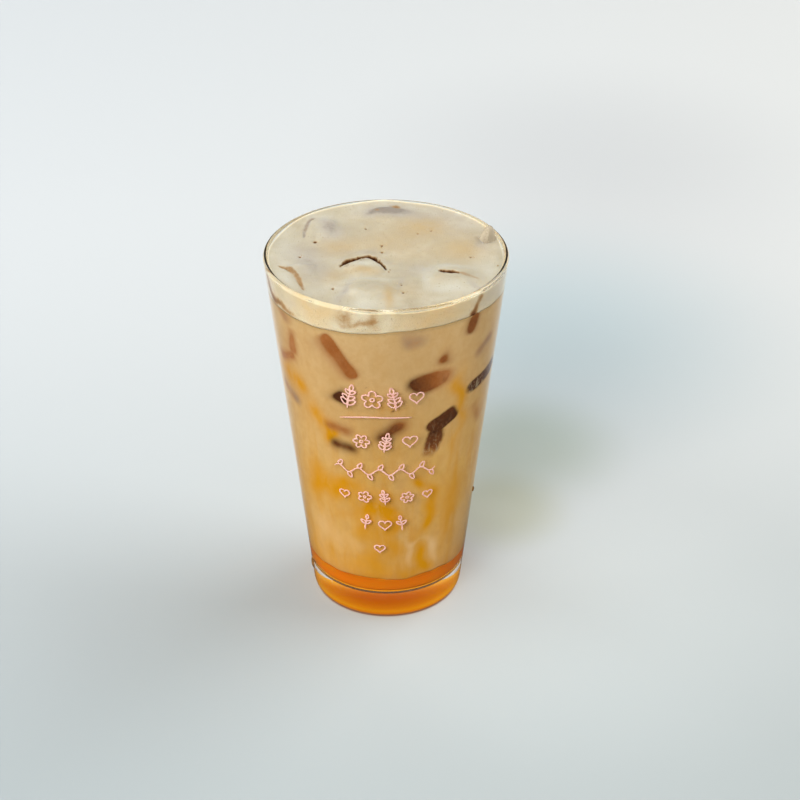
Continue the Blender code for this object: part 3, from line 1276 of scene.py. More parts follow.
# %% [markdown]
# ## Foam, seen from above
#
# The foam is a stiff crema poured last. It sags over the ice in soft shoulders, leaves a
# few cracks and bare edges, and climbs the glass in a thin rim. All of this is planned on a
# map of the surface seen from above, a quarter of a millimetre to a square. Helpers lay
# round dabs and brush strokes on the map, soften it, and read it back at any point.

# %% A map of the surface
MAP_HALF = 45
MAP_LINE = np.linspace(-MAP_HALF, MAP_HALF, 361)
MAP_X, MAP_Y = np.meshgrid(MAP_LINE, MAP_LINE)
MAP_CELL = MAP_LINE[1] - MAP_LINE[0]
MAP_LAST = 359.999  # just before the last cell


def soften(field, spread):
    """Blur a map by a spread in mm."""
    reach = int(3 * spread / MAP_CELL) + 1
    bell = np.exp(-0.5 * (np.arange(-reach, reach + 1) * MAP_CELL / spread) ** 2)
    bell /= bell.sum()
    padded = np.pad(field, reach, mode="edge")
    padded = np.apply_along_axis(np.convolve, 0, padded, bell, "valid")
    return np.apply_along_axis(np.convolve, 1, padded, bell, "valid")


def ripples(seed, spread):
    """Smooth random hills about 0, one unit high on average, with a spread in mm."""
    field = soften(np.random.default_rng(seed).standard_normal(MAP_X.shape), spread)
    return field / field.std()


def dab(x, y, wide, deep, turn=0.0):
    """A soft oval spot, 1 in the middle; sizes in mm."""
    a = radians(turn)
    across = (MAP_X - x) * cos(a) + (MAP_Y - y) * sin(a)
    along = (MAP_Y - y) * cos(a) - (MAP_X - x) * sin(a)
    return np.exp(-((across / wide) ** 2) - (along / deep) ** 2)


def stroke(points, soft, ragged=0.22):
    """A brush stroke through (x, y, half width) in mm: 1 on it, 0 beyond its soft edge."""
    ragged_x = MAP_X + ragged * RAGGED[0]
    ragged_y = MAP_Y + ragged * RAGGED[1]
    inside = np.full(MAP_X.shape, -9.0)
    for (x0, y0, w0), (x1, y1, w1) in zip(points, points[1:]):
        dx, dy = x1 - x0, y1 - y0
        share = ((ragged_x - x0) * dx + (ragged_y - y0) * dy) / (dx * dx + dy * dy)
        share = np.clip(share, 0, 1)
        gap = np.hypot(ragged_x - x0 - share * dx, ragged_y - y0 - share * dy)
        inside = np.maximum(inside, w0 + (w1 - w0) * share - gap)
    share = np.clip(inside / soft + 0.5, 0, 1)
    return share * share * (3 - 2 * share)


def read_map(field, x, y):
    """Value of a map at points given in metres."""
    u = np.clip((np.asarray(x) * 1000 + MAP_HALF) / MAP_CELL, 0, MAP_LAST)
    v = np.clip((np.asarray(y) * 1000 + MAP_HALF) / MAP_CELL, 0, MAP_LAST)
    i, j = u.astype(int), v.astype(int)
    u, v = u - i, v - j
    low = field[j, i] * (1 - u) + field[j, i + 1] * u
    high = field[j + 1, i] * (1 - u) + field[j + 1, i + 1] * u
    return low * (1 - v) + high * v


RAGGED = (ripples(21, 0.5), ripples(22, 0.5))
print("the map has", MAP_X.size, "cells of", MAP_CELL, "mm")

# %% [markdown]
# Three kinds of marks are laid on the map: brush strokes for the crack, its raised lip, the
# open slot and the edges that the foam leaves bare; soft dabs for its swells and dips; and
# pin holes where a bubble has burst.

# %% Strokes and dabs on the foam
# brush strokes of (x, y, half width) in mm
CRACK = (
    (-16.2, -8.9, 0.5), (-14.6, -6.8, 1.3), (-12.6, -5.0, 1.5), (-10.8, -3.9, 1.0),
    (-8.8, -2.9, 1.2), (-6.8, -2.6, 1.5), (-4.9, -3.3, 1.3), (-3.1, -5.4, 1.0),
    (-0.9, -9.4, 0.5), (0.4, -12.2, 0.1),
)
LIP = ((-17, -6.4, 1.4), (-12, -2.2, 1.8), (-7.0, 1.4, 1.8), (-2.8, -2.6, 1.4), (1.4, -8.4, 0.8))
SLOT = ((19.2, -15.4, 0.7), (21.0, -16.2, 1.6), (23.0, -17.1, 1.8), (25.2, -18.0, 0.7))
LEFT_EDGE = (
    (-38.4, -8.6, 0.6), (-36.2, -10.0, 0.8), (-34, -12.8, 0.9), (-32, -17.5, 0.9),
    (-30.2, -22.5, 0.8), (-29.2, -26, 0.3),
)
REAR_EDGE = ((-27.5, 29.4, 0.9), (-29, 26.5, 0.9), (-30.2, 21, 0.8), (-30.6, 15.5, 0.5))
# swells and dips of (x, y, half width, half depth, turn, rise) in mm and degrees
SHOULDERS = (
    (26, -20, 8, 7, 0, 0.9), (-5, -28, 8.5, 7, 0, 0.9), (-8.5, -20.6, 7, 1.3, 4, 0.35),
    (-30, -8, 7, 9, 0, -0.35), (-22, 20, 5, 7, 15, -0.3), (0, -15.5, 10, 2.2, 0, -0.4),
    (13.5, -19, 2.2, 8, 0, -0.35), (35, -27, 2, 6, 30, -0.3), (-26, 27, 5, 4, 0, 0.4),
)
# pin holes of (x, y, half width) in mm
PITS = (
    (-26.3, 11.8, 0.8), (-31.5, -0.2, 0.5), (-1.5, 8.8, 0.6), (-1.5, 3.3, 0.6), (-19, -25.2, 0.6),
    (6, -28.7, 0.5), (5.5, -22.7, 0.4), (-7.5, 22.3, 0.4), (12, 18.3, 0.4), (17, 20.8, 0.4),
    (31, -1.2, 0.4), (-14, -11.2, 0.5), (-12, -8.7, 0.35), (-5, -7.5, 0.3), (-9, -7.8, 0.3),
)


print("on the foam:", len(SHOULDERS), "swells and", len(PITS), "pin holes")

# %% [markdown]
# The foam has to know what lies under it. A ray straight down on every cell finds the top of
# the ice there. The block that stands up at the edge is left out, because the foam doesn't
# cover it.


# %% Top of the ice
BARE_BLOCK = "ice_corner"
ICE_REACH = 44.5  # mm


def top_of_ice():
    """Height in mm of the highest ice under each cell, 0 where there is none."""
    points, faces = [], []
    for name, mesh in ice_meshes.items():
        if name == BARE_BLOCK:
            continue
        faces += [[corner + len(points) for corner in face] for face in CUBE_FACES]
        points += [vert.co.copy() for vert in mesh.vertices]
    tree = BVHTree.FromPolygons(points, faces)
    top = np.zeros(MAP_X.shape)
    down = Vector((0, 0, -1))
    for j, i in zip(*np.nonzero(np.hypot(MAP_X, MAP_Y) < ICE_REACH)):
        above = Vector((MAP_X[j, i] / 1000, MAP_Y[j, i] / 1000, 0.16))
        hit = tree.ray_cast(above, down, 0.03)[0]
        if hit is not None:
            top[j, i] = hit.z * 1000
    return top


ice_top = top_of_ice()
print("the highest covered ice is at", round(ice_top.max(), 1), "mm")

# %% [markdown]
# Now the height, in millimetres. The foam lies at its own level or over the ice, whichever
# is higher, and is then softened; it never sinks below a thin coat on the ice, except where
# the crack, the slot and the pin holes are cut in. Against the bare block it only laps.

# %% Height of the foam
THICK_COAT = 0.30
MIDDLE_COAT = 0.25
THIN_COAT = 0.12
LIP_RISE = 0.9
LAP_RISE = 0.8
CRACK_DEPTH = 2.6
SLOT_DEPTH = 1.9
PIT_DEPTH = 0.8

crack = stroke(CRACK, 0.6)
slot = stroke(SLOT, 0.6)
left_edge = stroke(LEFT_EDGE, 0.9, 0.08)
rear_edge = stroke(REAR_EDGE, 0.9, 0.10)

# the open surface: its level, slow swells, small waves, and a rise near any ice
level = FOAM_LEVEL * 1000 + 0.12 * ripples(1, 5.0) + 0.04 * ripples(2, 1.2)
level += 0.7 * soften((ice_top > 0).astype(float), 4.0)
# draped over the ice, with a raised lip behind the crack
lifted = np.maximum(level, soften(np.maximum(level, ice_top + THICK_COAT), 2.4))
lifted += LIP_RISE * soften(stroke(LIP, 2.0), 1.3)
height = soften(np.maximum(lifted, ice_top + MIDDLE_COAT), 0.6) + 0.05 * ripples(3, 1.8)
for x, y, wide, deep, turn, rise in SHOULDERS:
    height += rise * dab(x, y, wide, deep, turn)
height -= 0.45 * left_edge + 0.35 * rear_edge
height = np.maximum(height, ice_top + THIN_COAT)
# it laps against the bare block, and is cut away in the crack, the slot and the pin holes
corner_x, corner_y, _ = FLOATING_ICE[BARE_BLOCK][0]
height += LAP_RISE * dab(corner_x * 1000 + 1.0, corner_y * 1000, 6, 6)
height -= CRACK_DEPTH * crack + SLOT_DEPTH * slot
for x, y, wide in PITS:
    height -= PIT_DEPTH * dab(x, y, wide, wide * 1.3)
print("foam rises from", round(level.min(), 1), "to", round(height.max(), 1), "mm")

# %% [markdown]
# Then the colour. Thin foam over ice looks cool and grey, the crema is warmer and yellower
# where it is thick, dry froth is pale, and coffee stands dark in the cracks and pin holes.
# Some pale dabs, on the crests and the lit front and left sides of the shoulders, are partly
# painted highlight, and one narrow crema dab down the right of the front shoulder is painted
# shade. Four maps hold how much of each there is.

# %% Colours of the foam
SLOT_RUN = ((25, -17.8, 0.9), (29, -18.8, 1.2), (33, -19.6, 0.4))


def lay(dabs):
    """Add up dabs of (x, y, half width, half depth, turn, strength)."""
    return sum(much * dab(x, y, wide, deep, turn) for x, y, wide, deep, turn, much in dabs)


thin = lay(
    (
        (-27, -8, 6, 13, 8, 0.6), (-32, 3, 7, 8, 0, 0.3), (-21, 21, 4.5, 8, 15, 0.85),
        (1, 36.5, 9, 4.5, 0, 0.95), (-5, 33.5, 4, 3, 0, 0.4), (3, 34.5, 13, 5, 0, 0.3),
        (-14, -26, 1.2, 7, -12, 0.6),
        (12, -11, 5, 4, 0, 0.4), (-8, 2.5, 9, 3, 0, 0.35), (27, 24, 10, 10, 0, 0.3),
        (36, 9, 3, 5, 0, 0.6), (20, 34, 12, 5, 0, 0.35), (5, -22, 1, 5, -10, 0.5),
        (32, -25, 1.5, 4, 30, 0.4), (-8, -6.5, 6, 2, 0, 0.5), (-17, -33, 2, 5, -20, 0.4),
    )
)
# the narrow dab at (1, -34) is painted shade down the right side of the front shoulder
crema = lay(
    (
        (15, 24, 11, 9, 0, 1.0), (29, 6, 9, 11, 0, 0.9), (-17, 7, 9, 7, 0, 0.75),
        (0, 12, 12, 9, 0, 0.5), (-8, -14.5, 5.5, 2.4, 0, 0.9), (-19, -17, 4, 7, 0, 0.6),
        (8, -28, 9, 7, 0, 0.4), (1, -34, 1.8, 8, 0, 0.9), (-10, 31, 10, 5, 0, 0.3),
        (10, 2, 14, 8, 0, 0.4),
    )
)
# partly painted highlight: the dabs at (-6, -19.5), (-7, -38), (14.5, -18) and (23, -26) light the
# crest and the front and left sides of the two shoulders
pale = lay(
    (
        (-8, -10.5, 6.5, 1.8, 0, 0.9), (23, -10.8, 8, 2.2, 0, 0.9), (14.5, -18, 2.2, 6, 0, 0.8),
        (23, -26, 9, 3, 0, 1.0), (-6, -19.5, 9, 1.6, 5, 0.6), (-7, -38, 6, 3.5, 0, 0.8),
        (-36, -18, 2, 7, 28, 0.9), (-25, 27, 4, 4, 0, 0.5), (36, -10, 5, 9, 0, 0.5),
        (-37, 8, 4, 12, 0, 0.5), (-19, 30, 7, 3, 0, 0.4), (-26, -28, 8, 3, 35, 0.4),
    )
)
stain = np.minimum(1, 2.0 * crack) + np.minimum(0.9, 2.0 * slot)
stain += 0.36 * left_edge + 0.14 * rear_edge
thin += 0.9 * rear_edge
stain += 0.26 * stroke(SLOT_RUN, 1.6, 0.1)
stain += 0.42 * dab(4, 39, 1.8, 1.8) + 0.34 * dab(-3.5, 35, 1.2, 1.2)
for x, y, wide in PITS:
    stain += 0.95 * dab(x, y, wide * 0.8, wide)
# small dark bubbles gather along the front of the crack
dice = np.random.default_rng(9)
for x, y, _ in CRACK[1:9] * 3:
    stain += 0.7 * dab(x + dice.normal(1, 1.6), y - 2.4 + dice.normal(0, 1.2), 0.28, 0.34)
stain = np.minimum(stain, 1)
print("most stain on the map:", round(stain.max(), 2))

# %% [markdown]
# The foam also shows as a band behind the glass. There it is marked by the ice and coffee
# just behind it: brown where a block stands close, cream where a tooth of thick crema has
# slipped down, grey where it is thin. The same soft dabs lay these marks round the wall.

# %% Marks in the foam band
# angle, height (mm), half width (degrees), half height (mm), strength
BAND = {
    "stain": (
        (49.5, 139.5, 2.4, 3.5, 0.50), (51, 143.5, 2.2, 1.6, 0.34), (48.2, 136, 2.6, 1.8, 0.55),
        (-19, 141.0, 4.4, 3.0, 0.32), (-4.6, 139.6, 2.8, 3.2, 0.32), (-11, 137.2, 8, 1.6, 0.30),
        (-74, 141.5, 3.5, 3.0, 0.42), (-70, 139, 3.5, 2.2, 0.42), (-66, 137, 4, 2.0, 0.42),
        (-60, 135.4, 6, 1.6, 0.42), (-52, 134, 7, 1.4, 0.36),
        (100, 138, 4, 3, 0.3), (-150, 139, 3, 4, 0.35), (165, 137, 6, 2, 0.3),
    ),
    "crema": (
        (-38, 140.5, 9, 4, 0.75), (-27, 142, 6, 3, 0.55), (-30, 136, 9, 2, 0.3),
        (24, 140, 20, 6, 0.9), (120, 140, 30, 4, 0.4), (-130, 140, 20, 4, 0.4),
    ),
    "pale": (
        (-10.5, 142.3, 3.6, 3.0, 0.9), (-21, 136.4, 4, 2.0, 0.6), (2, 139.5, 3.0, 4.5, 0.6),
        (-13, 135.3, 9, 0.9, 0.4), (48, 137, 8, 2, 0.25),
    ),
    "thin": (
        (-76, 139, 11, 7, 0.7), (-50, 138, 7, 3, 0.35), (62, 140, 12, 5, 0.5),
        (76, 138, 8, 6, 0.4), (-14, 138, 10, 2, 0.25),
    ),
}
print("marks round the band:", sum(len(dabs) for dabs in BAND.values()))

# %% [markdown]
# Many tiny bubbles give foam its surface. This group draws them with two sizes of cells: it
# hands back a height for a bump and a mask of burst bubbles, which are small dark rings.


# %% Small bubbles group
def make_bubble_group():
    masks = {"Height": "NodeSocketFloat", "Burst": "NodeSocketFloat"}
    group, given = new_group("small_bubbles", ("Size",), masks)
    place = own_place(group)
    scale = sum_of(group, "DIVIDE", 1.0, given["Size"])
    near = node(group, "ShaderNodeTexVoronoi", place, None, scale)
    finer = sum_of(group, "MULTIPLY", scale, 2.7)
    small = node(group, "ShaderNodeTexVoronoi", place, None, finer)
    big = step_between(group, near, 0.45, 0.05)
    tiny = step_between(group, small, 0.5, 0.1)
    height = sum_of(group, "MULTIPLY_ADD", big, 1.4, tiny)
    pick = near.node.outputs["Color"]
    chance = node(group, "ShaderNodeSeparateColor", pick)
    rare = step_between(group, chance, 0.86, 0.92)
    dot = step_between(group, near, 0.34, 0.12)
    burst = sum_of(group, "MULTIPLY", rare, dot, clamp=True)
    close_group(group, Height=height, Burst=burst)
    return group


bubble_group = make_bubble_group()


def bubbled(tree, size):
    """Height and burst mask of bubbles of a size in metres, from the bubble group."""
    made = use_group(tree, bubble_group, Size=size)
    return made["Height"], made["Burst"]


print("bubble group has", len(bubble_group.nodes), "nodes")

# %% [markdown]
# ## Foam finish
#
# Foam is white light scattered in cream, so the shader lets light travel a millimetre or two
# under the skin, less where coffee has stained it. Its open top is painted a little darker than
# the side that lies on the glass: painted shade on the top.


# %% Foam finish
MILK_IOR = 1.34
BUBBLE_SIZE = 0.0009


def make_foam_finish():
    finish, tree = new_material("milk_foam")
    place = own_place(tree)
    broad = clouds(tree, place, 75.0, 4.0, 0.55, 0.5)
    fine = clouds(tree, place, 420.0, 5.0, 0.65)
    base = ramp(
        tree,
        broad,
        (0.28, paint(205, 190, 159)),
        (0.5, paint(220, 206, 175)),
        (0.74, paint(236, 226, 200)),
    )
    lean = step_between(tree, fine, 0.3, 0.7, -0.12, 0.12)
    warm = sum_of(tree, "ADD", stored(tree, "crema"), lean, clamp=True)
    warm = sum_of(tree, "MULTIPLY", warm, 0.85)
    colour = mixed(tree, warm, base, paint(222, 190, 136))
    white = sum_of(tree, "ADD", stored(tree, "pale"), lean, clamp=True)
    colour = mixed(tree, white, colour, paint(232, 224, 200))
    cold = sum_of(tree, "ADD", stored(tree, "thin"), lean)
    grey = ramp(tree, cold, (0.6, paint(204, 193, 178)), (1.0, paint(174, 161, 144)))
    colour = mixed(tree, sum_of(tree, "MINIMUM", cold, 1.0, clamp=True), colour, grey)
    height, burst = bubbled(tree, BUBBLE_SIZE)
    speckle = sum_of(tree, "MULTIPLY", burst, 0.45)
    colour = mixed(tree, speckle, colour, paint(150, 122, 80))
    dark = ramp(
        tree,
        stored(tree, "stain"),
        (0.0, paint(204, 174, 130)),
        (0.35, paint(182, 142, 94)),
        (0.6, paint(116, 70, 34)),
        (0.8, paint(86, 48, 20)),
        (1.0, paint(62, 32, 12)),
    )
    torn = step_between(tree, fine, 0.3, 0.7, -0.10, 0.10)
    share = step_between(tree, sum_of(tree, "ADD", stored(tree, "stain"), torn), 0.04, 0.42)
    colour = mixed(tree, share, colour, dark)
    soft = sum_of(tree, "MULTIPLY_ADD", share, -0.35, 0.35)
    # painted shade: the open top, away from the glass, is multiplied darker than the side on the
    # glass
    shaded_top = sum_of(tree, "SUBTRACT", 1.0, stored(tree, "at_glass"))
    colour = mixed(tree, shaded_top, colour, paint(197, 199, 203), "MULTIPLY")
    lumps = sum_of(tree, "MULTIPLY_ADD", fine, 2.0, height)
    shader = principled(
        tree,
        Base_Color=colour,
        Roughness=0.5,
        IOR=MILK_IOR,
        Subsurface_Weight=soft,
        Subsurface_Radius=(1.0, 0.75, 0.45),
        Subsurface_Scale=0.0016,
        Normal=bumped(tree, 0.35, 0.00018, lumps),
    )
    finish_with(tree, shader)
    return finish


print("foam finish is ready to make")

# %% [markdown]
# The mesh is one closed skin again: up the wall from the foam line, over the thin rim that
# clings to the glass, and in to the middle in close rings, with the height read from the map.

# %% Foam
# angle, climb in mm
CLING = (
    (-180, 1.25), (-150, 1.3), (-128, 1.0), (-108, 0.4), (-85, -0.1), (-60, -0.1), (-40, 0.1),
    (-10, 0.1), (30, 0.1), (48, -0.1), (62, -0.8), (78, -0.9), (92, -0.5), (106, 0.5),
    (122, 1.2), (150, 1.35), (180, 1.25),
)
CLING_FADE = 1.6  # mm
# within this distance of the glass the top's painted shade fades out
GLASS_CONTACT_FADE = 0.6  # mm
RIM_OF_FOAM = 0.1441


def foam_cling(angles):
    """How far in mm the foam climbs the glass: least at the sides, most at the back."""
    at, climb = np.array(CLING).T
    return sum(np.interp(angles + shift, at, climb) for shift in (-6, -2, 2, 6)) / 4


def make_foam():
    steps, rings, levels = 600, 128, 18
    angles = np.linspace(-180, 180, steps, endpoint=False)
    turn = np.radians(angles)
    low = foam_line(angles) + LAYER_GAP
    edge = inner_radius(RIM_OF_FOAM) + SOAK
    cling = foam_cling(angles)
    rim = (read_map(height, np.sin(turn) * edge, -np.cos(turn) * edge) + cling) / 1000
    share = np.linspace(0, 1, levels)[:, None]
    wall_z = low + (rim - low) * share
    wide = np.broadcast_to(angles, wall_z.shape)
    wall = round_wall(wide, wall_z)
    part = (1 - np.linspace(0, 1, rings + 1)[1:, None]) ** 0.9
    x = wall[-1, :, 0] * part
    y = wall[-1, :, 1] * part
    away = edge * 1000 - np.hypot(x, y) * 1000
    z = read_map(height, x, y) + cling * np.exp(-away / CLING_FADE)
    top = np.stack([x, y, z / 1000], 2)
    bottom = wall[:1] * (0.5, 0.5, 1)
    mesh = ring_mesh("foam_skin", np.vstack([bottom * (0, 0, 1), bottom, wall, top]))
    below, tip = np.zeros(1 + steps), [0.0]
    for name, field in (("thin", thin), ("crema", crema), ("pale", pale), ("stain", stain)):
        round_it = wall_dabs(BAND[name], wide, wall_z).ravel()
        above = read_map(field, x, y)[:-1].ravel()
        store(mesh, name, np.concatenate([below, round_it, above, tip]))
    # 1 at the glass, fading inwards; the top's painted shade is left out here
    glass_contact = np.clip(1 - away[:-1].ravel() / GLASS_CONTACT_FADE, 0, 1)
    store(mesh, "at_glass", np.concatenate([below, np.ones(wide.size), glass_contact, tip]))
    return mesh


foam_mesh = make_foam()
add_piece("foam_skin", foam_mesh, make_foam_finish(), "milk_foam", "foam")
print("foam:", len(foam_mesh.polygons), "faces")

# %% [markdown]
# The floating blocks go in now that the map says where their bare parts are stained. The top
# of the block under the open slot is also melted away a little there.

# %% Floating ice in place
SLOT_SINK = 0.0022

ice_marks = np.clip(1.3 * slot + 0.5 * left_edge + 0.6 * rear_edge + crack, 0, 1)
for name, mesh in ice_meshes.items():
    spots = np.array([vert.co for vert in mesh.vertices])
    store(mesh, "stain", read_map(ice_marks, spots[:, 0], spots[:, 1]))
    if name == "ice_right":
        upper = spots[:, 2] > FLOATING_ICE[name][0][2]
        spots[upper, 2] -= read_map(slot, spots[upper, 0], spots[upper, 1]) * SLOT_SINK
        mesh.vertices.foreach_set("co", spots.ravel())
    add_piece(f"{name}_block", mesh, ice_finish, "ice", name)
print("floating blocks in place")

# %% [markdown]
# ## Bubbles
#
# A few bubbles are large enough to see one by one. Each is a thin dome, a little flatter
# than a ball, with its foot in the foam.


# %% One bubble
CAP_SHARE = 0.62  # of a half turn, from the top of the ball down


def dome(bm, middle, radius, rise):
    """A closed dome: rings of points on a cap, wider than it is tall."""
    sides, rings = 12, 5
    rows = []
    for ring in range(1, rings + 1):
        lift = cos(ring / rings * pi * CAP_SHARE)
        wide = sin(ring / rings * pi * CAP_SHARE)
        turn = [2 * pi * side / sides for side in range(sides)]
        rows.append(
            [
                bm.verts.new(middle + Vector((cos(a) * wide, sin(a) * wide, lift * rise)) * radius)
                for a in turn
            ]
        )
    top = bm.verts.new(middle + Vector((0, 0, rise * radius)))
    for a, b in zip(rows[0], rows[0][1:] + rows[0][:1]):
        bm.faces.new((top, a, b))
    for low, high in zip(rows[1:], rows):
        for i in range(sides):
            j = (i + 1) % sides
            bm.faces.new((high[i], low[i], low[j], high[j]))
    bm.faces.new(rows[-1][::-1])


print("a bubble's dome covers", round(180 * CAP_SHARE), "degrees of a ball")

# %% [markdown]
# The bubbles gather round the back, along the glass, round the pin holes and in the crack,
# at places drawn from a fixed seed. Most are small and a few are large, as in real froth.

# %% Bubbles
LARGEST_BUBBLE = 0.00045
COMMON_BUBBLE = 0.00016
GLASS_EDGE = 42.4  # mm


def make_bubbles():
    dice = np.random.default_rng(5)
    spots = []
    for _ in range(60):
        turn = dice.uniform(-0.2, pi + 0.2)
        spots.append((cos(turn) * dice.uniform(41.2, 42.6), sin(turn) * dice.uniform(41.2, 42.6)))
    for x, y, _ in PITS * 3:
        spots.append((x + dice.normal(0, 1.6), y + dice.normal(0, 1.6)))
    for x, y, _ in CRACK[:6] * 2:
        spots.append((x + dice.normal(0, 0.8), y - 1.6 + dice.normal(0, 0.8)))
    bm = bmesh.new()
    for x, y in spots:
        size = min(LARGEST_BUBBLE, COMMON_BUBBLE * dice.lognormal(0, 0.45))
        z = read_map(height, x / 1000, y / 1000) / 1000
        if hypot(x, y) < GLASS_EDGE:
            dome(bm, Vector((x / 1000, y / 1000, float(z))), size, 0.8)
    mesh = bpy.data.meshes.new("foam_bubbles")
    bmesh.ops.recalc_face_normals(bm, faces=bm.faces)
    bm.to_mesh(mesh)
    bm.free()
    mesh.shade_smooth()
    return mesh


def make_bubble_film():
    finish, tree = new_material("bubble_film")
    patchy = clouds(tree, own_place(tree), 700.0)
    tint = ramp(tree, patchy, (0.35, paint(140, 116, 80)), (0.65, paint(190, 172, 136)))
    finish_with(tree, principled(tree, Base_Color=tint, Roughness=0.3, IOR=MILK_IOR))
    return finish


bubble_mesh = make_bubbles()
add_piece("foam_bubbles", bubble_mesh, make_bubble_film(), "milk_foam")
print("bubble faces:", len(bubble_mesh.polygons))

# %% [markdown]
# ## Enamel drawing
#
# The front of the tumbler carries a small hand-drawn pattern in pink enamel, printed on and
# fired: sprigs, flowers, hearts and a running vine. Enamel stands proud of the glass by
# about the thickness of a hair, so each pen line is a real ribbon with a rounded back that
# bites a little into the wall. Lines are planned flat, in mm across and up, and then wrapped
# round the cone.

# %% Pen lines
def bent_line(points, steps=6):
    """A smooth line through points (Catmull-Rom)."""
    spots = [Vector(p) for p in points]
    spots = [spots[0] * 2 - spots[1], *spots, spots[-1] * 2 - spots[-2]]
    line = []
    for a, b, c, d in zip(spots, spots[1:], spots[2:], spots[3:]):
        once, twice, thrice = c - a, 2 * a - 5 * b + 4 * c - d, 3 * b - a - 3 * c + d
        for i in range(steps):
            t = i / steps
            line.append(((2 * b) + once * t + twice * t**2 + thrice * t**3) / 2)
    return line + [spots[-2]]


def round_trip(steps, spot):
    """A closed pen line: spot(t) at every step of one turn, back to where it began."""
    return [Vector(spot(2 * pi * i / steps)) for i in range(steps + 1)]


print("a bent line through 3 points has", len(bent_line([(0, 0), (1, 1), (2, 0)])), "points")

# %% [markdown]
# The whole pattern is made of four closed shapes and a stem with leaves. Each function
# returns the line of the pen, so the same few rules draw every row at any size.


# %% Leaves, flowers and hearts
def leaf(x, z, long, heading, plump=0.34):
    """A leaf drawn with one closed line, from its stalk at x, z."""
    a = radians(heading)

    def spot(t):
        along = long * (1 - cos(t)) / 2
        side = plump * long * sin(t) * (0.55 + 0.45 * cos(t / 2) ** 2)
        return x + along * cos(a) - side * sin(a), z + along * sin(a) + side * cos(a)

    return round_trip(24, spot)


def flower(x, z, wide, petals=5, turn=0.0):
    """A rosette drawn without lifting the pen."""

    def spot(t):
        r = wide * (0.50 + 0.50 * abs(cos(petals * (t - turn) / 2)) ** 0.8)
        return x + r * cos(t), z + r * sin(t)

    return round_trip(72, spot)


def ringlet(x, z, r):
    return round_trip(16, lambda t: (x + r * cos(t), z + r * sin(t)))


def heart(x, z, tall):
    def spot(t):
        across = 16 * sin(t) ** 3
        up = 13 * cos(t) - 5 * cos(2 * t) - 2 * cos(3 * t) - cos(4 * t)
        return x + across * tall / 30, z + up * tall / 30

    return round_trip(40, spot)


def sprig(x, z, tall, lean, pairs=3):
    """A curved stem with pairs of leaves and one at the tip."""
    stem = bent_line([(x, z), (x + lean * 0.25, z + tall * 0.4), (x + lean, z + tall * 0.8)])
    lines = [stem]
    heading = 90 - lean * 6
    for i in range(pairs):
        spot = stem[int((i + 1) * (len(stem) - 1) / (pairs + 0.6))]
        long = tall * (0.34 - 0.05 * i)
        lines.append(leaf(spot.x, spot.y, long, heading + 52))
        lines.append(leaf(spot.x, spot.y, long, heading - 52))
    tip = stem[-1]
    lines.append(leaf(tip.x, tip.y, tall * 0.27, heading))
    return lines


print("a heart is drawn with", len(heart(0, 0, 5)), "points")

# %% [markdown]
# Six rows, large at the top and smaller below, with a rule under the first.

# %% Lay out the drawing
def vine(left, right, z, rise, waves):
    """A running vine with a leaf on every bend."""
    count = waves * 16
    line = [
        Vector((left + (right - left) * i / count, z + rise * sin(2 * pi * waves * i / count)))
        for i in range(count + 1)
    ]
    lines = [line]
    for i in range(waves * 2):
        spot = line[4 + i * 8]
        up = 1 if i % 2 == 0 else -1
        lines.append(leaf(spot.x, spot.y, 2.6, 62 * up, 0.36))
    return lines


drawing = []
drawing += sprig(-14.6, 101.2, 10.2, 1.6)
drawing += [flower(-5.2, 106.2, 3.9, 5, 0.3), ringlet(-5.2, 106.2, 0.75)]
drawing += sprig(3.4, 101.4, 9.6, -1.4)
drawing += [heart(11.0, 106.6, 5.0)]
drawing.append(bent_line([(-17.6, 96.4), (-8, 98.2), (1, 98.3), (9.2, 97.9)]))
drawing += [flower(-9.4, 86.8, 3.1, 6), ringlet(-9.4, 86.8, 0.6)]
drawing += sprig(-1.0, 82.2, 8.4, 1.2, 3)
drawing += [heart(8.6, 87.0, 5.2)]
drawing += vine(-20.4, 18.6, 72.8, 1.3, 5)
drawing += [heart(-16.4, 60.6, 3.8), flower(-8.4, 60.6, 2.6, 5), ringlet(-8.4, 60.6, 0.5)]
drawing += sprig(-0.6, 57.2, 6.6, -0.8, 2)
drawing += [flower(7.6, 60.4, 2.5, 6, 0.2), ringlet(7.6, 60.4, 0.5), heart(15.6, 60.4, 3.6)]
drawing += sprig(-8.4, 44.6, 6.8, 0.8, 1)
drawing += [heart(-0.8, 47.4, 4.6)]
drawing += sprig(5.8, 44.4, 6.8, -0.8, 1)
drawing += [heart(-2.8, 35.6, 3.8)]
print("pen lines:", len(drawing))

# %% [markdown]
# A flat drawing is wrapped round the cone by turning millimetres across into an angle at the
# radius of that height. What lies on the glass is closed all round, so its faces are turned
# to look outwards.


# %% Wrapping round the glass
def on_glass(x, z, lift):
    """A flat spot in mm wrapped round the outside of the glass, lifted off it by lift."""
    r = outer_radius(z / 1000)
    turn = x / 1000 / r
    r += lift / 1000
    return (sin(turn) * r, -cos(turn) * r, z / 1000)


def closed_mesh(name, points, faces):
    """A smooth mesh whose faces all look outwards."""
    mesh = smooth_mesh(name, points, faces)
    bm = bmesh.new()
    bm.from_mesh(mesh)
    bmesh.ops.recalc_face_normals(bm, faces=bm.faces)
    bm.to_mesh(mesh)
    bm.free()
    return mesh


print("30 mm up the front, the glass is at y =", round(on_glass(0, 30, 0)[1], 4))

# %% [markdown]
# Each line becomes a ribbon: eight points round it at every step, flat below and rounded
# above, thin at both ends as a pen leaves it, and a little uneven along the way.

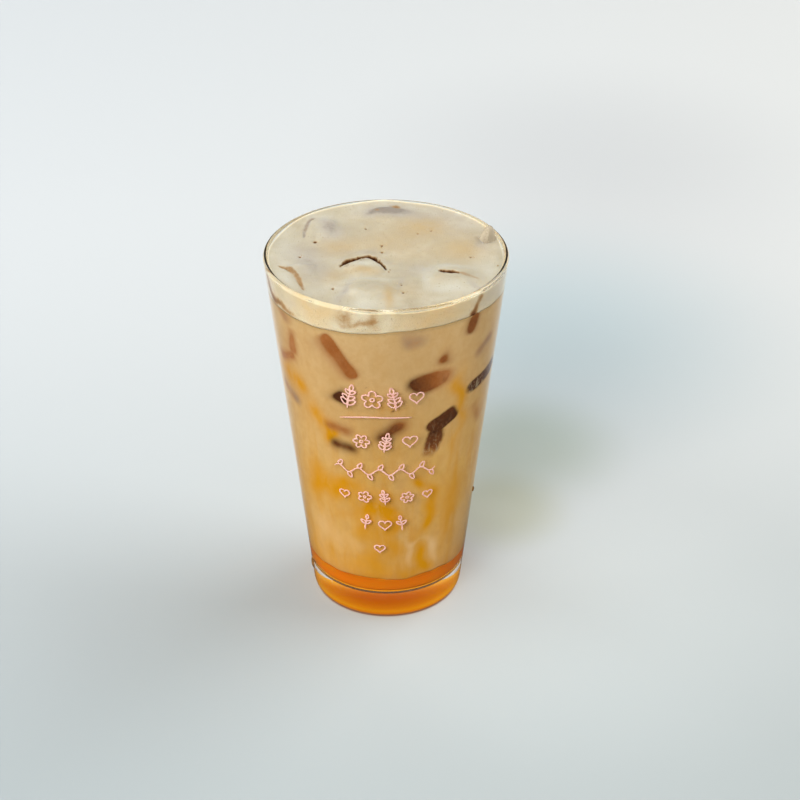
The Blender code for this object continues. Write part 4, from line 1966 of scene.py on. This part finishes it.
# %% Enamel ribbons
# round the pen line: across it in half widths, and off the glass in mm
PEN = (
    (-1, -0.02), (-0.85, 0.025), (-0.45, 0.045), (0, 0.052),
    (0.45, 0.045), (0.85, 0.025), (1, -0.02), (0, -0.03),
)
PEN_HALF_WIDTH = 0.29  # mm
PEN_WANDER = 0.22
JOINED = 0.02  # mm between the ends of a closed line


def make_enamel():
    points, faces = [], []
    sides = len(PEN)
    for number, line in enumerate(drawing):
        closed = (line[0] - line[-1]).length < JOINED
        line = line[:-1] if closed else line
        count = len(line)
        start = len(points)
        for i, spot in enumerate(line):
            before = line[i - 1] if closed or i else spot
            after = line[(i + 1) % count] if closed or i < count - 1 else spot
            ahead = (after - before).normalized()
            side = Vector((-ahead.y, ahead.x))
            wander = PEN_WANDER * noise.noise(Vector((i * 0.21, number * 3.7, 0)))
            half = PEN_HALF_WIDTH * (1 + wander)
            if not closed:
                half *= min(1.0, 0.35 + 0.4 * min(i, count - 1 - i))
            for part, lift in PEN:
                flat = spot + side * part * half
                points.append(on_glass(flat.x, flat.y, lift))
        for i in range(count if closed else count - 1):
            a, b = start + i * sides, start + (i + 1) % count * sides
            for k in range(sides):
                after = (k + 1) % sides
                faces.append((a + k, a + after, b + after, b + k))
        if not closed:
            last = start + (count - 1) * sides
            faces.append(tuple(start + k for k in range(sides))[::-1])
            faces.append(tuple(last + k for k in range(sides)))
    return closed_mesh("enamel_drawing", points, faces)


def make_pink_enamel():
    finish, tree = new_material("pink_enamel")
    place = own_place(tree)
    patchy = clouds(tree, place, 500.0, 3.0)
    colour = ramp(tree, patchy, (0.3, paint(218, 160, 147)), (0.7, paint(232, 186, 173)))
    bump = bumped(tree, 0.2, 0.00005, clouds(tree, place, 2200.0))
    finish_with(tree, principled(tree, Base_Color=colour, Roughness=0.35, Normal=bump))
    return finish


enamel_mesh = make_enamel()
add_piece("enamel_drawing", enamel_mesh, make_pink_enamel(), "enamel")
print("enamel:", len(enamel_mesh.polygons), "faces")

# %% [markdown]
# ## Drops on the outside
#
# Two small drops of coffee have run down the outside of the glass, one low on the left and
# one higher on the right. Each is a shallow cap wrapped on the wall, longer than it is wide,
# with its foot just inside the glass.

# %% Drops
# angle, height (mm), half width, half height, thickness in mm
DROPS = ((-75, 11.4, 1.3, 3.2, 0.75), (78, 45.5, 0.8, 1.3, 0.5))
DROP_FOOT = 0.06  # mm inside the glass


def make_drops():
    points, faces = [], []
    sides, rings = 20, 6
    for angle, high, wide, tall, thick in DROPS:
        x = radians(angle) * outer_radius(high / 1000) * 1000
        top = len(points)
        back = top + 1
        first_ring = top + 2
        last_ring = first_ring + (rings - 1) * sides
        points += [on_glass(x, high, thick), on_glass(x, high, -DROP_FOOT)]
        for ring in range(1, rings + 1):
            part = sin(ring / rings * pi / 2)
            rise = (thick + DROP_FOOT) * sqrt(max(0.0, 1 - part * part)) - DROP_FOOT
            for side in range(sides):
                turn = 2 * pi * side / sides
                heavy = 1 - 0.25 * sin(turn)
                across = x + cos(turn) * wide * part * heavy
                points.append(on_glass(across, high + sin(turn) * tall * part, rise))
        for side in range(sides):
            after = (side + 1) % sides
            faces.append((top, first_ring + side, first_ring + after))
            for low in range(first_ring, last_ring, sides):
                faces.append((low + side, low + sides + side, low + sides + after, low + after))
            faces.append((back, last_ring + after, last_ring + side))
    return closed_mesh("coffee_drops", points, faces)


def make_drop_finish():
    finish, tree = new_material("coffee_drop")
    patchy = clouds(tree, own_place(tree), 700.0)
    tint = ramp(tree, patchy, (0.3, paint(96, 62, 28)), (0.7, paint(146, 108, 62)))
    finish_with(tree, principled(tree, Base_Color=tint, Roughness=0.15, IOR=MILK_IOR))
    return finish


drop_mesh = make_drops()
add_piece("coffee_drops", drop_mesh, make_drop_finish(), "milky_coffee")
print("drop faces:", len(drop_mesh.polygons))
